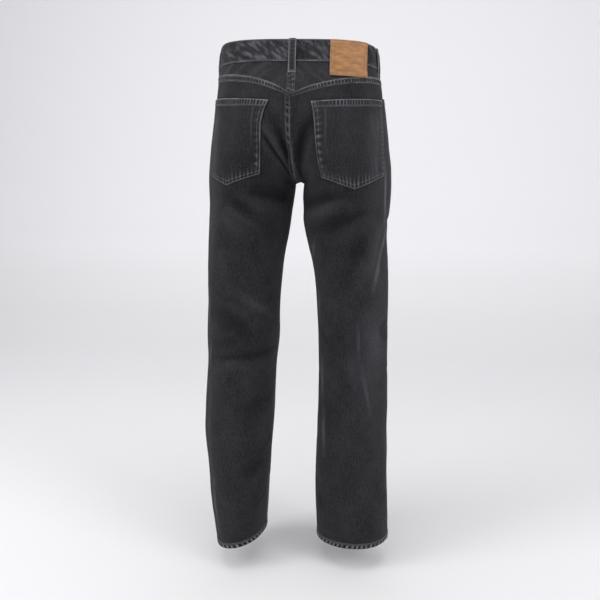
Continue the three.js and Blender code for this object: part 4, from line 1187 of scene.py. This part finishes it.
BUTTON_OUTLINE = [
    (0.45, 0), (0.45, 0.35), (0.9, 0.4), (0.985, 0.5), (1, 0.66), (0.985, 0.85), (0.93, 0.98), (0.86, 1),
    (0.79, 0.96), (0.74, 0.84), (0.66, 0.82), (0.45, 0.84), (0.3, 0.95), (0.14, 1), (0.03, 1),
]
RIVET_OUTLINE = [
    (0.98, 0), (1, 0.2), (0.97, 0.45), (0.85, 0.7), (0.66, 0.9), (0.5, 1), (0.36, 0.97), (0.26, 0.8),
    (0.2, 0.95), (0.08, 1.1),
]


def turned(name, replaced, outline, size, side, across, down, lift, segments):
    point, out = place_on(side, np.array([across]), np.array([down]))
    turn = Vector((0, 0, 1)).rotation_difference(Vector(out[0])).to_matrix()
    profile = np.array(outline) * (size["radius"], size["height"])
    angle = np.linspace(0, 2 * math.pi, segments, endpoint=False)
    radius, rise = profile[:, :1], np.repeat(profile[:, 1:], segments, 1)
    ring = np.stack([radius * np.cos(angle), radius * np.sin(angle), rise], -1)
    vertices = ring.reshape(-1, 3) @ np.array(turn).T + point[0] + out[0] * lift
    made = make_mesh(name, vertices, tube_faces(len(profile), segments), [METAL])
    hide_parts(replaced)


def waist_button():
    down, lift = (BAND_TOP + BAND_BOTTOM) / 2, BAND_PROUD + 0.9
    turned("button_shank", "waist_button", BUTTON_OUTLINE, BUTTON, "left", BUTTON["across"], down, lift, 40)


def rivet(name, side, across, seam_down):
    down = seam_down + RIVET["from_seam"]
    turned("dome_" + name, name, RIVET_OUTLINE, RIVET, side, across, down, 0.6, 28)


for part_side in SIDES:
    back_panel(part_side)
    yoke(part_side)
    front_panel(part_side)
    pocket_facing(part_side)
    back_pocket(part_side)
    rivet("rivet_top_" + part_side, part_side, SCOOP["across"] + RIVET["from_mouth"], BAND_BOTTOM)
    rivet("rivet_side_" + part_side, part_side, RIVET["from_side"], MOUTH_END)
coin_pocket()
fly()
waistband()
for number, (loop_name, (loop_side, loop_across)) in enumerate(LOOPS.items()):
    belt_loop(loop_name, loop_side, loop_across, 1300 + 10 * number)
leather_patch()
waist_button()


for piece_name, piece in CLOTH_PIECES.items():
    sewn = finish_sewing(piece_name, piece)


# Stage, camera and light

CAMERA = {
    "focal_px": 600.0, "frame_px": 600.0, "shift_px": 0.8,
    "tilt": 9.3, "yaw": 8.7, "height": 0.79, "distance": 1.30,
}
FLOOR_Z = -1.09
FLOOR_HALF_WIDTH = 8.0

# The floor's outline from the camera's side to behind the jeans, and its height above the floor
BACKDROP = [
    (8.0, 0), (4.0, 0), (1.5, 0), (0, 0), (-1.2, 0), (-1.7, 0.03), (-2.1, 0.13), (-2.4, 0.32),
    (-2.6, 0.6), (-2.7, 1.0), (-2.72, 2.0), (-2.72, 6.0),
]

SKY, SKY_STRENGTH = (0.96, 0.98, 1.0, 1), 0.5
LIT_POINT = Vector((0, 0, -0.5))

# Lights: place, width and height, power
LIGHTS = {
    "left": ((2.3, 1.3, 0.5), (1.2, 2.2), 43),
    "right": ((-2.4, 1.2, 0.4), (1.2, 2.2), 31),
    "top": ((0, 0.5, 2.2), (2.4, 2.0), 32),
}


def camera():
    data = bpy.data.cameras.new("camera")
    data.sensor_width = 36.0
    data.lens = data.sensor_width * CAMERA["focal_px"] / CAMERA["frame_px"]
    data.shift_x = -CAMERA["shift_px"] / CAMERA["frame_px"]
    made = link("camera", data)
    yaw, tilt = math.radians(CAMERA["yaw"]), math.radians(CAMERA["tilt"])
    made.location = (
        -CAMERA["distance"] * math.sin(yaw),
        CAMERA["distance"] * math.cos(yaw),
        FLOOR_Z + CAMERA["height"],
    )
    look = Vector((math.sin(yaw) * math.cos(tilt), -math.cos(yaw) * math.cos(tilt), -math.sin(tilt)))
    made.rotation_euler = look.to_track_quat("-Z", "Y").to_euler()
    bpy.context.scene.camera = made


def stage():
    """A pale floor that curves up into the backdrop."""
    ends = -FLOOR_HALF_WIDTH, FLOOR_HALF_WIDTH
    vertices = [(x, depth, rise + FLOOR_Z) for depth, rise in BACKDROP for x in ends]
    quads = [(k, k + 2, k + 3, k + 1) for k in range(0, len(vertices) - 2, 2)]
    mesh = bpy.data.meshes.new("floor")
    mesh.from_pydata(vertices, [], quads)
    mesh.polygons.foreach_set("use_smooth", np.ones(len(mesh.polygons), bool))
    material, add = new_material("pale_floor")
    height = add("SeparateXYZ", None, Vector=add("TexCoord").outputs["Object"]).outputs[2]
    # Painted light: the backdrop is made paler than the floor as it rises, standing in for the difference in
    # light that each gets
    backdrop_brightening = ranged(add, height, i1=FLOOR_Z, i2=FLOOR_Z + 0.5)
    finish_material(add, blended(add, backdrop_brightening, *COLOURS["pale_floor"]), 0.8)
    mesh.materials.append(material)
    link("floor", mesh)


def light():
    world = bpy.data.worlds.new("studio")
    world.use_nodes = True
    background = world.node_tree.nodes["Background"]
    background.inputs["Color"].default_value = SKY
    background.inputs["Strength"].default_value = SKY_STRENGTH
    bpy.context.scene.world = world
    for name, (place, size, power) in LIGHTS.items():
        data = bpy.data.lights.new(name, "AREA")
        data.shape = "RECTANGLE"
        data.size, data.size_y = size
        data.energy = power
        made = link(name, data)
        made.location = place
        made.rotation_euler = (LIT_POINT - Vector(place)).to_track_quat("-Z", "Y").to_euler()


camera()
stage()
light()
bpy.context.scene.view_settings.view_transform = "Standard"
